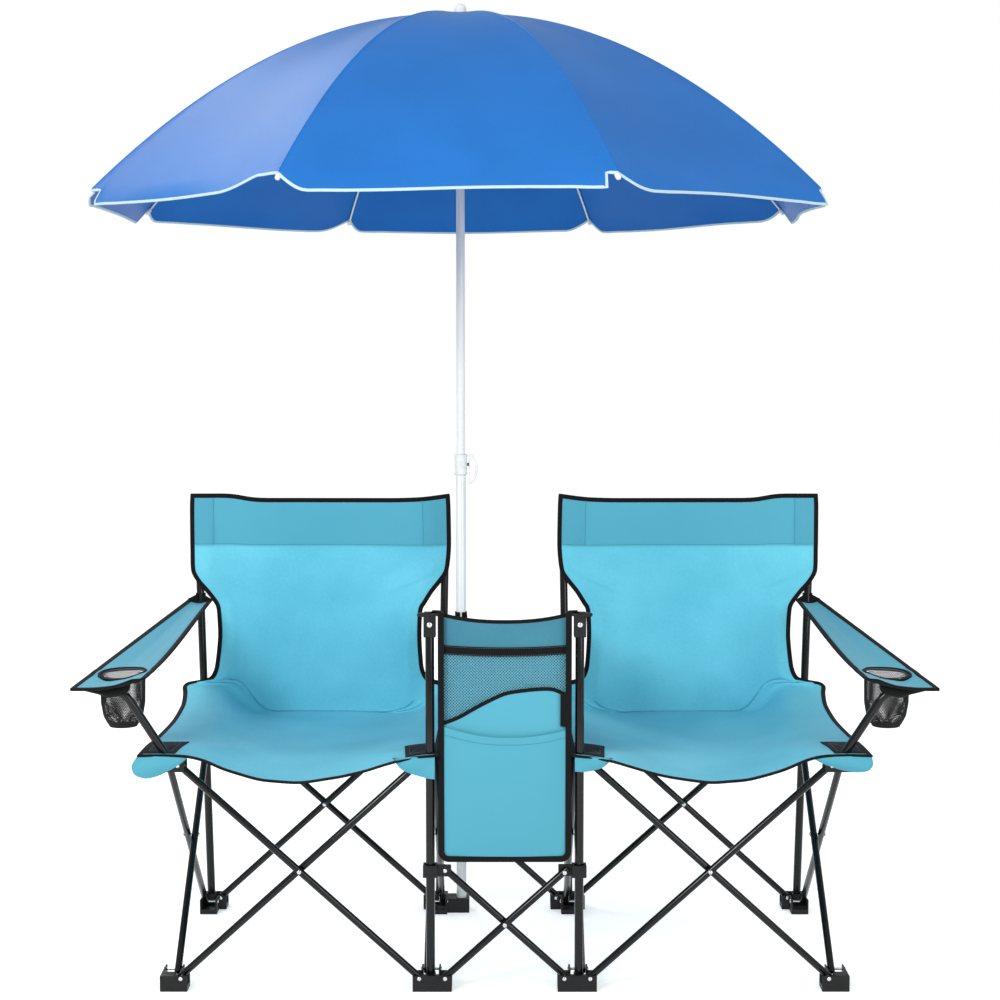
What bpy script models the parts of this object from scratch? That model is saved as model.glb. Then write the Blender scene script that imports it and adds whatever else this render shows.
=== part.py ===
"""Double folding camp chair with a parasol.

Two sling seats hang on scissor frames that all fold together, a table bag hangs between them, and a
push-up parasol stands in a cup on one rear foot. Metres, +Z up, +Y towards the back. The origin lies
on the ground under the middle of the whole object, and the parasol's pole stands at y = 0.
"""

import math

import bmesh
import bpy
from mathutils import Matrix, Vector

# Scissor frame: every pair of crossed braces spans SCISSOR_SPAN, and the middle pair half of it
SCISSOR_SPAN = 0.427
CHAIR_INSET = 0.020
CENTRE_INSET = 0.02625
SIDE_INSET = 0.03975
FOOT_PIVOT_HEIGHT = 0.024
SEAT_PIVOT_HEIGHT = 0.411
FOLD_ANGLE = math.radians(37.0)
BRACE_DIAMETER = 0.013
BRACE_WALL = 0.001
BRACE_GAP = 0.001
BRACE_OVERHANG = 0.008
FRONT_Y = -0.482

# Posts
POST_DIAMETER = 0.016
POST_WALL = 0.0012
POST_CLEARANCE = 0.0008
TABLE_POST_TOP = 0.679
BACK_POST_TOP = 0.843
BACK_OFFSET = 0.0525
OUTER_SPLAY = 0.028
INNER_SPLAY = 0.014

# Moulded feet, corner brackets and sliders
FOOT_HEIGHT = 0.0295
FOOT_BASE = 0.010
FOOT_CHEEK = 0.0032
FOOT_END = 0.012
CHANNEL_CLEARANCE = 0.0006
CORE_WALL = 0.001
BRACKET_PLATE = 0.003
SLIDER_DEPTH = 0.022
SLIDER_WALL = 0.005
EAR_THICKNESS = 0.0032
CUP_FLOOR = 0.004
CUP_WALL = 0.006
CAP_HEIGHT = 0.040
CAP_WALL = 0.004
CAP_BRIM = 0.004
CAP_WING = 0.008

# Arms
ARM_TUBE_DIAMETER = 0.015
ARM_TUBE_OUT = 0.069
ARM_TUBE_FORWARD = 0.020
ARM_TUBE_STUB = 0.030
ARM_REAR_HEIGHT = 0.632
ARM_FRONT_DROP = 0.062
ARM_TIP_DROP = 0.0176
ARM_FRONT_REACH = 0.048
ARM_REAR_WIDTH = 0.048
ARM_FRONT_WIDTH = 0.129
ARM_FRONT_OUT = 0.033
ARM_SAG = 0.006
ARM_THICKNESS = 0.003
NET_RADIUS = 0.041
NET_FOOT_RADIUS = 0.034
NET_WALL = 0.0024
NET_DEPTH = 0.094
NET_RIM = 0.004
NET_SETBACK = 0.090

# Sling seats
SLING_THICKNESS = 0.0024
SLING_CLEARANCE = 0.0005
SLING_OUTER_MARGIN = 0.052
SLING_INNER_MARGIN = 0.016
SLING_FRONT_MARGIN = 0.023
SEAT_DIP = 0.046
BACK_SAG = 0.045
BACK_HEM_HEIGHT = 0.849

# Table bag between the chairs
BAG_HALF_WIDTH = 0.1122
BAG_CLEARANCE = 0.0115
BAG_SHEET = 0.003
BAG_POCKET_RISE = 0.220
BAG_POCKET_DEPTH = 0.020
BAG_BODY_TOP_GAP = 0.030
TABLE_REAR_DROP = 0.073
TABLE_DIP = 0.014
BAG_POLE_GAP = 0.016

# Parasol
POLE_X = -0.087
LOWER_POLE_DIAMETER = 0.020
UPPER_POLE_DIAMETER = 0.0172
POLE_WALL = 0.001
POLE_CLEARANCE = 0.0003
LOWER_POLE_TOP = 0.934
UPPER_POLE_INSERT = 0.260
COLLAR_HEIGHT = 0.042
COLLAR_WALL = 0.0035
PIN_DIAMETER = 0.004
PIN_REACH = 0.003
LOOP_WIDTH = 0.0155
LOOP_HEIGHT = 0.056
LOOP_DROP = 0.009
LOOP_WIRE = 0.0026
CANOPY_RADIUS = 0.7255
CANOPY_APEX = 1.798
CANOPY_DROP = 0.363
CANOPY_THICKNESS = 0.0016
CANOPY_HOLE = 0.0100
VALANCE_HEIGHT = 0.031
HEM_PULL = 0.012
RIB_DIAMETER = 0.0044
RIB_GAP = 0.0006
STRUT_GAP = 0.0003
RIB_CREASE_SHARE = 1.12
STRUT_DIAMETER = 0.0036
HINGE_RADIUS = 0.0195
STRUT_RADIUS = 0.340
STRUT_DROP = 0.0011
CROWN_RADIUS = 0.016
CROWN_HEIGHT = 0.014
CROWN_NECK_RADIUS = 0.0088
FERRULE_RADIUS = 0.0125
FERRULE_HEIGHT = 0.022
RUNNER_HEIGHT = 0.052
RUNNER_FLANGE = 0.010
PART_OVERRUN = 0.010

RIB_COUNT = 8
CANOPY_RINGS = 9
TUBE_SIDES = 12
ROD_SIDES = 8

# Where the legs stand and how long the braces are
CENTRE_SPAN = SCISSOR_SPAN / 2
INNER_LEG_X = CENTRE_SPAN / 2 + CENTRE_INSET
OUTER_LEG_X = INNER_LEG_X + 2 * CHAIR_INSET + SCISSOR_SPAN
REAR_Y = FRONT_Y + 2 * SIDE_INSET + SCISSOR_SPAN
SCISSOR_RISE = SEAT_PIVOT_HEIGHT - FOOT_PIVOT_HEIGHT
BRACE_ANGLE = math.atan2(SCISSOR_RISE, SCISSOR_SPAN)
BRACE_LENGTH = math.hypot(SCISSOR_RISE, SCISSOR_SPAN)
FOLD_RISE = BRACE_LENGTH * (math.sin(BRACE_ANGLE + FOLD_ANGLE) - math.sin(BRACE_ANGLE))
CENTRE_PIVOT_HEIGHT = FOOT_PIVOT_HEIGHT + SCISSOR_RISE / 2
BAG_BOTTOM = CENTRE_PIVOT_HEIGHT + SLIDER_DEPTH / 2 + BAG_CLEARANCE
BAG_TOP = TABLE_POST_TOP + CAP_BRIM
PLANE_OFFSET = (BRACE_DIAMETER + BRACE_GAP) / 2
BRACE_RADIUS = BRACE_DIAMETER / 2
POST_RADIUS = POST_DIAMETER / 2
CHANNEL_HALF = PLANE_OFFSET + BRACE_RADIUS + CHANNEL_CLEARANCE
BLOCK_HALF = CHANNEL_HALF + FOOT_CHEEK
BRACE_SWING = math.hypot(BRACE_OVERHANG, BRACE_RADIUS)
BRACKET_TOP = SEAT_PIVOT_HEIGHT + BRACE_SWING + CHANNEL_CLEARANCE + BRACKET_PLATE


def principled(name, colour, roughness, metallic=0.0):
    material = bpy.data.materials.new(name)
    material.use_nodes = True
    shader = material.node_tree.nodes["Principled BSDF"]
    shader.inputs["Base Color"].default_value = (*colour, 1.0)
    shader.inputs["Roughness"].default_value = roughness
    shader.inputs["Metallic"].default_value = metallic
    material.diffuse_color = (*colour, 1.0)
    return material


BLACK_ENAMEL = ("black_enamel", (0.012, 0.012, 0.013), 0.35, 0.3)
BLACK_PLASTIC = ("black_plastic", (0.015, 0.015, 0.016), 0.55)
SEAT_CLOTH = ("seat_cloth", (0.09, 0.42, 0.60), 0.85)
CANOPY_CLOTH = ("canopy_cloth", (0.03, 0.17, 0.60), 0.8)
WHITE_ENAMEL = ("white_enamel", (0.80, 0.81, 0.80), 0.3)
WHITE_PLASTIC = ("white_plastic", (0.82, 0.83, 0.82), 0.45)


def add_object(name, mesh_builder, finish):
    """One object made from a bmesh, with its own material, closed and facing out."""
    bmesh.ops.remove_doubles(mesh_builder, verts=mesh_builder.verts, dist=0.0)
    bmesh.ops.recalc_face_normals(mesh_builder, faces=mesh_builder.faces)
    mesh = bpy.data.meshes.new(name)
    mesh_builder.to_mesh(mesh)
    mesh_builder.free()
    obj = bpy.data.objects.new(name, mesh)
    bpy.context.scene.collection.objects.link(obj)
    obj.data.materials.append(principled(name + "_" + finish[0], *finish[1:]))
    mesh.shade_smooth()
    mesh.set_sharp_from_angle(angle=math.radians(35.0))
    return obj


def add_helper(name, mesh_builder):
    """A shape that is only cut from, or joined to, another one."""
    helper = add_object(name, mesh_builder, BLACK_PLASTIC)
    helper.hide_render = True
    helper.display_type = "WIRE"
    return helper


def combine(obj, helper, operation):
    modifier = obj.modifiers.new(helper.name, "BOOLEAN")
    modifier.operation = operation
    modifier.object = helper
    modifier.solver = "EXACT"


def box(low, high):
    """A bmesh box between two corners."""
    mesh_builder = bmesh.new()
    size = Vector(high) - Vector(low)
    middle = (Vector(high) + Vector(low)) / 2
    place = Matrix.Translation(middle) @ Matrix.Diagonal((*size, 1.0))
    bmesh.ops.create_cube(mesh_builder, size=1.0, matrix=place)
    return mesh_builder


def ring_points(centre, along, radius, sides):
    """Points of a circle about centre, square to the direction along."""
    along = Vector(along).normalized()
    aside = along.orthogonal().normalized()
    other = along.cross(aside)
    turns = [2 * math.pi * k / sides for k in range(sides)]
    return [Vector(centre) + radius * (math.cos(t) * aside + math.sin(t) * other) for t in turns]


def bridge(mesh_builder, first, second):
    """Quads between two rings of as many vertices."""
    count = len(first)
    for k in range(count):
        following = (k + 1) % count
        mesh_builder.faces.new((first[k], first[following], second[following], second[k]))


def tube(start, end, diameter, wall, sides=TUBE_SIDES):
    """A straight hollow tube, open at both ends."""
    mesh_builder = bmesh.new()
    along = Vector(end) - Vector(start)
    rings = []
    for centre, radius in (
        (start, diameter / 2),
        (end, diameter / 2),
        (end, diameter / 2 - wall),
        (start, diameter / 2 - wall),
    ):
        points = ring_points(centre, along, radius, sides)
        rings.append([mesh_builder.verts.new(point) for point in points])
    for k in range(len(rings)):
        bridge(mesh_builder, rings[k], rings[(k + 1) % len(rings)])
    return mesh_builder


def rod(points, diameter, sides=ROD_SIDES):
    """A solid round bar along a line of points, with mitred bends and flat ends."""
    mesh_builder = bmesh.new()
    points = [Vector(point) for point in points]
    aside = None
    rings = []
    for k, point in enumerate(points):
        before = points[max(k - 1, 0)]
        after = points[min(k + 1, len(points) - 1)]
        along = (after - before).normalized()
        if aside is None:
            aside = along.orthogonal()
        aside = (aside - aside.dot(along) * along).normalized()
        other = along.cross(aside)
        ring = []
        for side in range(sides):
            turn = 2 * math.pi * side / sides
            offset = math.cos(turn) * aside + math.sin(turn) * other
            ring.append(mesh_builder.verts.new(point + offset * diameter / 2))
        rings.append(ring)
    for first, second in zip(rings, rings[1:]):
        bridge(mesh_builder, first, second)
    mesh_builder.faces.new(rings[0])
    mesh_builder.faces.new(rings[-1])
    return mesh_builder


def turned(profile, x, y, sides):
    """A closed turned body: profile lists (radius, height) round its whole section."""
    mesh_builder = bmesh.new()
    rings = []
    for radius, height in profile:
        if radius == 0.0:
            rings.append([mesh_builder.verts.new((x, y, height))])
            continue
        points = ring_points((x, y, height), (0.0, 0.0, 1.0), radius, sides)
        rings.append([mesh_builder.verts.new(point) for point in points])
    for first, second in zip(rings, rings[1:] + rings[:1]):
        if len(first) == 1 and len(second) == 1:
            continue
        if len(first) == 1 or len(second) == 1:
            tip, ring = (first[0], second) if len(first) == 1 else (second[0], first)
            for k in range(sides):
                mesh_builder.faces.new((tip, ring[k], ring[(k + 1) % sides]))
        else:
            bridge(mesh_builder, first, second)
    return mesh_builder


def sheet(rows):
    """An open sheet through rows of points, each row as long as the next."""
    mesh_builder = bmesh.new()
    grid = [[mesh_builder.verts.new(point) for point in row] for row in rows]
    for first, second in zip(grid, grid[1:]):
        for k in range(len(first) - 1):
            mesh_builder.faces.new((first[k], first[k + 1], second[k + 1], second[k]))
    return mesh_builder


def thicken(obj, thickness, offset):
    modifier = obj.modifiers.new("thickness", "SOLIDIFY")
    modifier.thickness = thickness
    modifier.offset = offset
    modifier.use_even_offset = True


def lerp(first, second, share):
    return first + (second - first) * share


def brace(name, low_pivot, high_pivot):
    """A scissor brace: a steel tube that runs a little past its pivot at each end."""
    low_pivot, high_pivot = Vector(low_pivot), Vector(high_pivot)
    along = (high_pivot - low_pivot).normalized()
    start = low_pivot - along * BRACE_OVERHANG
    end = high_pivot + along * BRACE_OVERHANG
    return add_object(name, tube(start, end, BRACE_DIAMETER, BRACE_WALL), BLACK_ENAMEL)


def moulding(name, x, y, low, high, plate, x_reaches, y_reach, hollow_up):
    """A moulded block on a leg: a core with channelled arms that take the ends of the braces.

    x_reaches are signed distances from the leg to pivots beside it, y_reach the one in front of or
    behind it. The channels stand open upwards on a foot and downwards on a corner bracket.
    """
    block = add_object(
        name,
        box((x - BLOCK_HALF, y - BLOCK_HALF, low), (x + BLOCK_HALF, y + BLOCK_HALF, high)),
        BLACK_PLASTIC,
    )
    core = POST_RADIUS + CORE_WALL
    channel_low = low + plate if hollow_up else low - PART_OVERRUN
    channel_high = high + PART_OVERRUN if hollow_up else high - plate
    arms = [(reach, 0.0) for reach in x_reaches]
    if y_reach:
        arms.append((0.0, y_reach))
    for number, (dx, dy) in enumerate(arms):
        reach = abs(dx + dy)
        sign = math.copysign(1.0, dx + dy)
        near = sorted((sign * core, sign * (reach + FOOT_END)))
        cut = sorted((sign * core, sign * (reach + FOOT_END + PART_OVERRUN)))
        if dx:
            arm_low, arm_high = (x + near[0], y - BLOCK_HALF), (x + near[1], y + BLOCK_HALF)
            cut_low, cut_high = (x + cut[0], y - CHANNEL_HALF), (x + cut[1], y + CHANNEL_HALF)
        else:
            arm_low, arm_high = (x - BLOCK_HALF, y + near[0]), (x + BLOCK_HALF, y + near[1])
            cut_low, cut_high = (x - CHANNEL_HALF, y + cut[0]), (x + CHANNEL_HALF, y + cut[1])
        arm = add_helper(f"{name}_arm_{number}", box((*arm_low, low), (*arm_high, high)))
        combine(block, arm, "UNION")
        channel = add_helper(
            f"{name}_channel_{number}",
            box((*cut_low, channel_low), (*cut_high, channel_high)),
        )
        block["channels"] = [*block.get("channels", []), channel.name]
    for channel_name in block["channels"]:
        combine(block, bpy.data.objects[channel_name], "DIFFERENCE")
    return block


def back_post_point(side, outer, height):
    """A point on the axis of a back post, which leans back and splays away from its seat."""
    share = height / BACK_POST_TOP
    if outer:
        x = side * (OUTER_LEG_X + OUTER_SPLAY * share)
    else:
        x = side * (INNER_LEG_X - INNER_SPLAY * share)
    return Vector((x, REAR_Y + BACK_OFFSET * share, height))


def front_outer_foot(side, label):
    moulding(
        f"{label}_front_outer_foot",
        side * OUTER_LEG_X, FRONT_Y, 0.0, FOOT_HEIGHT, FOOT_BASE,
        [-side * CHAIR_INSET], SIDE_INSET, True,
    )


def table_post(side, label):
    """The front inner leg: foot, upright tube and the corner cap that the table bag hangs on."""
    x = side * INNER_LEG_X
    name = f"{label}_front_inner_leg"
    leg = moulding(
        name, x, FRONT_Y, 0.0, FOOT_HEIGHT, FOOT_BASE,
        [side * CHAIR_INSET, -side * CENTRE_INSET], SIDE_INSET, True,
    )
    upright = rod(
        [(x, FRONT_Y, FOOT_BASE / 2), (x, FRONT_Y, TABLE_POST_TOP)], POST_DIAMETER, TUBE_SIDES,
    )
    combine(leg, add_helper(f"{name}_upright", upright), "UNION")
    half = POST_RADIUS + CAP_WALL
    cap = box(
        (x - half, FRONT_Y - half, TABLE_POST_TOP - CAP_HEIGHT),
        (x + half, FRONT_Y + half, TABLE_POST_TOP),
    )
    combine(leg, add_helper(f"{name}_cap", cap), "UNION")
    wing_out = x + side * (half + CAP_WING)
    wing_in = x - side * (INNER_LEG_X - BAG_HALF_WIDTH - SLING_CLEARANCE)
    brim = box(
        (min(wing_out, wing_in), FRONT_Y - half - CAP_BRIM / 2, TABLE_POST_TOP - CAP_BRIM),
        (max(wing_out, wing_in), FRONT_Y + half + CAP_BRIM / 2, TABLE_POST_TOP + CAP_BRIM),
    )
    combine(leg, add_helper(f"{name}_brim", brim), "UNION")
    bore = POST_RADIUS - POST_WALL
    hollow = turned(
        [
            (0.0, FOOT_BASE),
            (bore, FOOT_BASE),
            (bore, TABLE_POST_TOP + CAP_BRIM + PART_OVERRUN),
            (0.0, TABLE_POST_TOP + CAP_BRIM + PART_OVERRUN),
        ],
        x, FRONT_Y, TUBE_SIDES,
    )
    combine(leg, add_helper(f"{name}_hollow", hollow), "DIFFERENCE")


def back_post(side, label, outer):
    """A rear leg: foot and leaning tube, with the parasol's cup on the left inner one."""
    x = side * (OUTER_LEG_X if outer else INNER_LEG_X)
    place = "outer" if outer else "inner"
    name = f"{label}_{place}_back_post"
    reaches = [-side * CHAIR_INSET if outer else side * CHAIR_INSET]
    holds_pole = side < 0 and not outer
    if not outer and not holds_pole:
        reaches.append(-side * CENTRE_INSET)
    leg = moulding(name, x, REAR_Y, 0.0, FOOT_HEIGHT, FOOT_BASE, reaches, -SIDE_INSET, True)
    low = back_post_point(side, outer, FOOT_BASE / 2)
    high = back_post_point(side, outer, BACK_POST_TOP)
    combine(leg, add_helper(f"{name}_upright", rod([low, high], POST_DIAMETER, TUBE_SIDES)), "UNION")
    inside = rod([back_post_point(side, outer, FOOT_BASE), high + (high - low).normalized() * PART_OVERRUN],
                 POST_DIAMETER - 2 * POST_WALL, TUBE_SIDES)
    if holds_pole:
        half = LOWER_POLE_DIAMETER / 2 + CUP_WALL
        cup = box((x + CHANNEL_HALF + CHANNEL_CLEARANCE, -half, 0.0), (POLE_X + half, REAR_Y, FOOT_HEIGHT))
        combine(leg, add_helper(f"{name}_cup", cup), "UNION")
        bore = LOWER_POLE_DIAMETER / 2 + 2 * POLE_CLEARANCE
        hole = turned(
            [(0.0, CUP_FLOOR), (bore, CUP_FLOOR), (bore, FOOT_HEIGHT + PART_OVERRUN),
             (0.0, FOOT_HEIGHT + PART_OVERRUN)],
            POLE_X, 0.0, 2 * TUBE_SIDES,
        )
        combine(leg, add_helper(f"{name}_bore", hole), "DIFFERENCE")
    combine(leg, add_helper(f"{name}_hollow", inside), "DIFFERENCE")


def braces(side, label):
    """The four crossed pairs of one chair: front, rear, outer side and inner side."""
    outer, inner = side * OUTER_LEG_X, side * INNER_LEG_X
    outer_x, inner_x = outer - side * CHAIR_INSET, inner + side * CHAIR_INSET
    low, high = FOOT_PIVOT_HEIGHT, SEAT_PIVOT_HEIGHT
    for row, y, forward in (("front", FRONT_Y, 1.0), ("rear", REAR_Y, -1.0)):
        rising_in = y + forward * PLANE_OFFSET
        rising_out = y - forward * PLANE_OFFSET
        brace(f"{label}_{row}_brace_in", (outer_x, rising_in, low), (inner_x, rising_in, high))
        brace(f"{label}_{row}_brace_out", (inner_x, rising_out, low), (outer_x, rising_out, high))
    front_y, rear_y = FRONT_Y + SIDE_INSET, REAR_Y - SIDE_INSET
    for row, x, outwards in (("outer", outer, side), ("inner", inner, -side)):
        rising_back = x - outwards * PLANE_OFFSET
        rising_forward = x + outwards * PLANE_OFFSET
        brace(f"{label}_{row}_side_brace_back", (rising_back, front_y, low), (rising_back, rear_y, high))
        brace(f"{label}_{row}_side_brace_front", (rising_forward, rear_y, low),
              (rising_forward, front_y, high))


def centre_braces():
    """The small crossed pair under the table bag, and the single link behind it."""
    half = CENTRE_SPAN / 2
    low, high = FOOT_PIVOT_HEIGHT, CENTRE_PIVOT_HEIGHT
    ahead, behind = FRONT_Y - PLANE_OFFSET, FRONT_Y + PLANE_OFFSET
    brace("centre_brace_left", (-half, ahead, low), (half, ahead, high))
    brace("centre_brace_right", (half, behind, low), (-half, behind, high))
    back = REAR_Y + PLANE_OFFSET
    brace("centre_rear_link", (half, back, low), (-half, back, high))


def centre_slider(side, label):
    """A collar on the table post with an ear beside the top of a centre brace."""
    x = side * INNER_LEG_X
    half = POST_RADIUS + SLIDER_WALL
    low, high = CENTRE_PIVOT_HEIGHT - SLIDER_DEPTH / 2, CENTRE_PIVOT_HEIGHT + SLIDER_DEPTH / 2
    slider = add_object(
        f"{label}_centre_slider",
        box((x - half, FRONT_Y - half, low), (x + half, FRONT_Y + half, high)),
        BLACK_PLASTIC,
    )
    brace_y = FRONT_Y + PLANE_OFFSET if side < 0 else FRONT_Y - PLANE_OFFSET
    towards = 1.0 if brace_y > FRONT_Y else -1.0
    face = brace_y - towards * (BRACE_RADIUS + CHANNEL_CLEARANCE)
    ear_y = sorted((face, face - towards * EAR_THICKNESS))
    tip = x - side * (CENTRE_INSET + FOOT_END - BRACE_GAP)
    ear = box((min(x, tip), ear_y[0], low), (max(x, tip), ear_y[1], high))
    combine(slider, add_helper(f"{label}_centre_slider_ear", ear), "UNION")
    bore = POST_RADIUS + POST_CLEARANCE
    hole = turned(
        [(0.0, low - PART_OVERRUN), (bore, low - PART_OVERRUN), (bore, high + PART_OVERRUN),
         (0.0, high + PART_OVERRUN)],
        x, FRONT_Y, TUBE_SIDES,
    )
    combine(slider, add_helper(f"{label}_centre_slider_bore", hole), "DIFFERENCE")


def back_slider(side, label):
    """The bracket that rides on the outer back post and takes the rear and side braces."""
    x = side * OUTER_LEG_X
    low = SEAT_PIVOT_HEIGHT - FOOT_END
    slider = moulding(
        f"{label}_back_slider", x, REAR_Y, low, BRACKET_TOP, BRACKET_PLATE,
        [-side * CHAIR_INSET], -SIDE_INSET, False,
    )
    post = back_post_point(side, True, (low + BRACKET_TOP) / 2)
    reach = POST_RADIUS + POST_CLEARANCE
    out_play = FOLD_RISE * OUTER_SPLAY / BACK_POST_TOP
    back_play = FOLD_RISE * BACK_OFFSET / BACK_POST_TOP
    slot_x = sorted((post.x - side * reach, post.x + side * (reach + out_play)))
    slot_y = (post.y - reach - BRACE_GAP, post.y + reach + back_play + BRACE_GAP)
    wall = SLIDER_WALL
    collar = box(
        (slot_x[0] - wall, REAR_Y, low),
        (slot_x[1] + wall, slot_y[1] + wall, BRACKET_TOP),
    )
    combine(slider, add_helper(f"{label}_back_slider_collar", collar), "UNION")
    slot = box(
        (slot_x[0], slot_y[0], low - PART_OVERRUN),
        (slot_x[1], slot_y[1], BRACKET_TOP + PART_OVERRUN),
    )
    combine(slider, add_helper(f"{label}_back_slider_slot", slot), "DIFFERENCE")
    brace_room = box(
        (min(x, x - side * (CHAIR_INSET + FOOT_END)), REAR_Y - CHANNEL_HALF, low - PART_OVERRUN),
        (max(x - side * (POST_RADIUS + CORE_WALL), x - side * (CHAIR_INSET + FOOT_END)),
         REAR_Y + CHANNEL_HALF, BRACKET_TOP - BRACKET_PLATE),
    )
    combine(slider, add_helper(f"{label}_back_slider_room", brace_room), "DIFFERENCE")


def arm_sheet_point(side, across, along):
    """A point of the arm's cloth: across runs from its inner to its outer edge, along to the front."""
    post = back_post_point(side, True, ARM_REAR_HEIGHT)
    rear_y = post.y - POST_RADIUS - POST_CLEARANCE
    front_y = FRONT_Y - ARM_FRONT_REACH
    inner = lerp(abs(post.x) - ARM_REAR_WIDTH / 2, OUTER_LEG_X + ARM_FRONT_OUT, along)
    width = lerp(ARM_REAR_WIDTH, ARM_FRONT_WIDTH, along)
    height = ARM_REAR_HEIGHT - ARM_FRONT_DROP * along - ARM_TIP_DROP * along * across
    height -= ARM_SAG * math.sin(math.pi * across)
    return Vector((side * (inner + width * across), lerp(rear_y, front_y, along), height))


def net_centre(side):
    """The middle of the cup net's ring, a set distance behind the arm's front edge."""
    rear = arm_sheet_point(side, 0.5, 0.0)
    front = arm_sheet_point(side, 0.5, 1.0)
    share = (rear.y - front.y - NET_SETBACK) / (rear.y - front.y)
    return arm_sheet_point(side, 0.5, share)


def armrest(side, label):
    """The padded cloth arm with its sewn-in cup net."""
    across_steps, along_steps = 6, 8
    rows = []
    for i in range(along_steps + 1):
        rows.append(
            [arm_sheet_point(side, k / across_steps, i / along_steps) for k in range(across_steps + 1)]
        )
    cloth = add_object(f"{label}_armrest", sheet(rows), SEAT_CLOTH)
    thicken(cloth, ARM_THICKNESS, 0.0)
    centre = net_centre(side)
    rim, floor = centre.z + NET_RIM, centre.z - NET_DEPTH
    outside = turned(
        [(0.0, floor), (NET_FOOT_RADIUS, floor), (NET_RADIUS, centre.z - ARM_SAG), (NET_RADIUS, rim), (0.0, rim)],
        centre.x, centre.y, 2 * TUBE_SIDES,
    )
    combine(cloth, add_helper(f"{label}_net_outside", outside), "UNION")
    top = rim + NET_DEPTH
    inside = turned(
        [(0.0, floor + NET_WALL), (NET_FOOT_RADIUS - NET_WALL, floor + NET_WALL),
         (NET_RADIUS - NET_WALL, centre.z - ARM_SAG), (NET_RADIUS - NET_WALL, top), (0.0, top)],
        centre.x, centre.y, 2 * TUBE_SIDES,
    )
    combine(cloth, add_helper(f"{label}_net_inside", inside), "DIFFERENCE")


def arm_tube_points(side):
    """The bent arm tube: out of the corner bracket, leaning outwards, then level under the cloth."""
    foot = Vector((side * OUTER_LEG_X, FRONT_Y, BRACKET_TOP - BRACKET_PLATE))
    end_y = FRONT_Y - ARM_TUBE_FORWARD
    radius = ARM_TUBE_DIAMETER / 2
    stub_x = OUTER_LEG_X + ARM_TUBE_OUT + ARM_TUBE_STUB
    rear = arm_sheet_point(side, 0.5, 0.0)
    front = arm_sheet_point(side, 0.5, 1.0)
    along = (rear.y - end_y) / (rear.y - front.y)
    inner = arm_sheet_point(side, 0.0, along)
    outer = arm_sheet_point(side, 1.0, along)
    across = (stub_x - abs(inner.x)) / (abs(outer.x) - abs(inner.x))
    level = arm_sheet_point(side, across, along).z - ARM_THICKNESS - SLING_CLEARANCE - radius
    bend = Vector((side * (OUTER_LEG_X + ARM_TUBE_OUT), end_y, level - radius))
    return [
        foot,
        foot.lerp(bend, 0.9),
        bend,
        Vector((bend.x + side * radius, end_y, level - radius / 4)),
        Vector((side * stub_x, end_y, level)),
    ]


def arm_post(side, label):
    """The corner bracket of the seat with the bent arm tube standing in it."""
    name = f"{label}_arm_post"
    bracket = moulding(
        name, side * OUTER_LEG_X, FRONT_Y, SEAT_PIVOT_HEIGHT - FOOT_END, BRACKET_TOP, BRACKET_PLATE,
        [-side * CHAIR_INSET], SIDE_INSET, False,
    )
    tube_body = rod(arm_tube_points(side), ARM_TUBE_DIAMETER, TUBE_SIDES)
    combine(bracket, add_helper(f"{name}_tube", tube_body), "UNION")


# How deep the seat dips across its width, from the outer edge to the inner one
SAG_SHARES = (0.0, 0.0, 0.0, 0.34, 0.68, 0.90, 1.0, 0.93, 0.78, 0.58, 0.30, 0.08, 0.0)

# The sling from its front hem to its top hem, as shares: how far back between the front and rear legs,
# how high between the bracket and the top hem, how far its edges stand out, and how deep it dips and
# bows back in the middle
SLING_ROW_SHARES = (
    (0.00, 0.000, 1.00, 0.96, 0.00),
    (0.15, 0.000, 1.00, 1.00, 0.00),
    (0.34, -0.010, 0.99, 1.08, 0.00),
    (0.58, -0.008, 0.99, 1.10, 0.00),
    (0.80, 0.018, 1.00, 1.00, 0.00),
    (0.935, 0.050, 1.01, 0.95, 0.00),
    (0.985, 0.085, 0.94, 0.72, 0.30),
    (1.000, 0.130, 0.79, 0.35, 0.70),
    (1.000, 0.230, 0.765, 0.10, 1.00),
    (1.000, 0.330, 0.765, 0.00, 1.05),
    (1.000, 0.508, 0.780, 0.00, 1.00),
    (1.000, 0.580, 0.915, 0.00, 0.80),
    (1.000, 0.640, 0.955, 0.00, 0.62),
    (1.000, 0.820, 0.963, 0.00, 0.35),
    (1.000, 1.000, 0.968, 0.00, 0.12),
)


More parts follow.
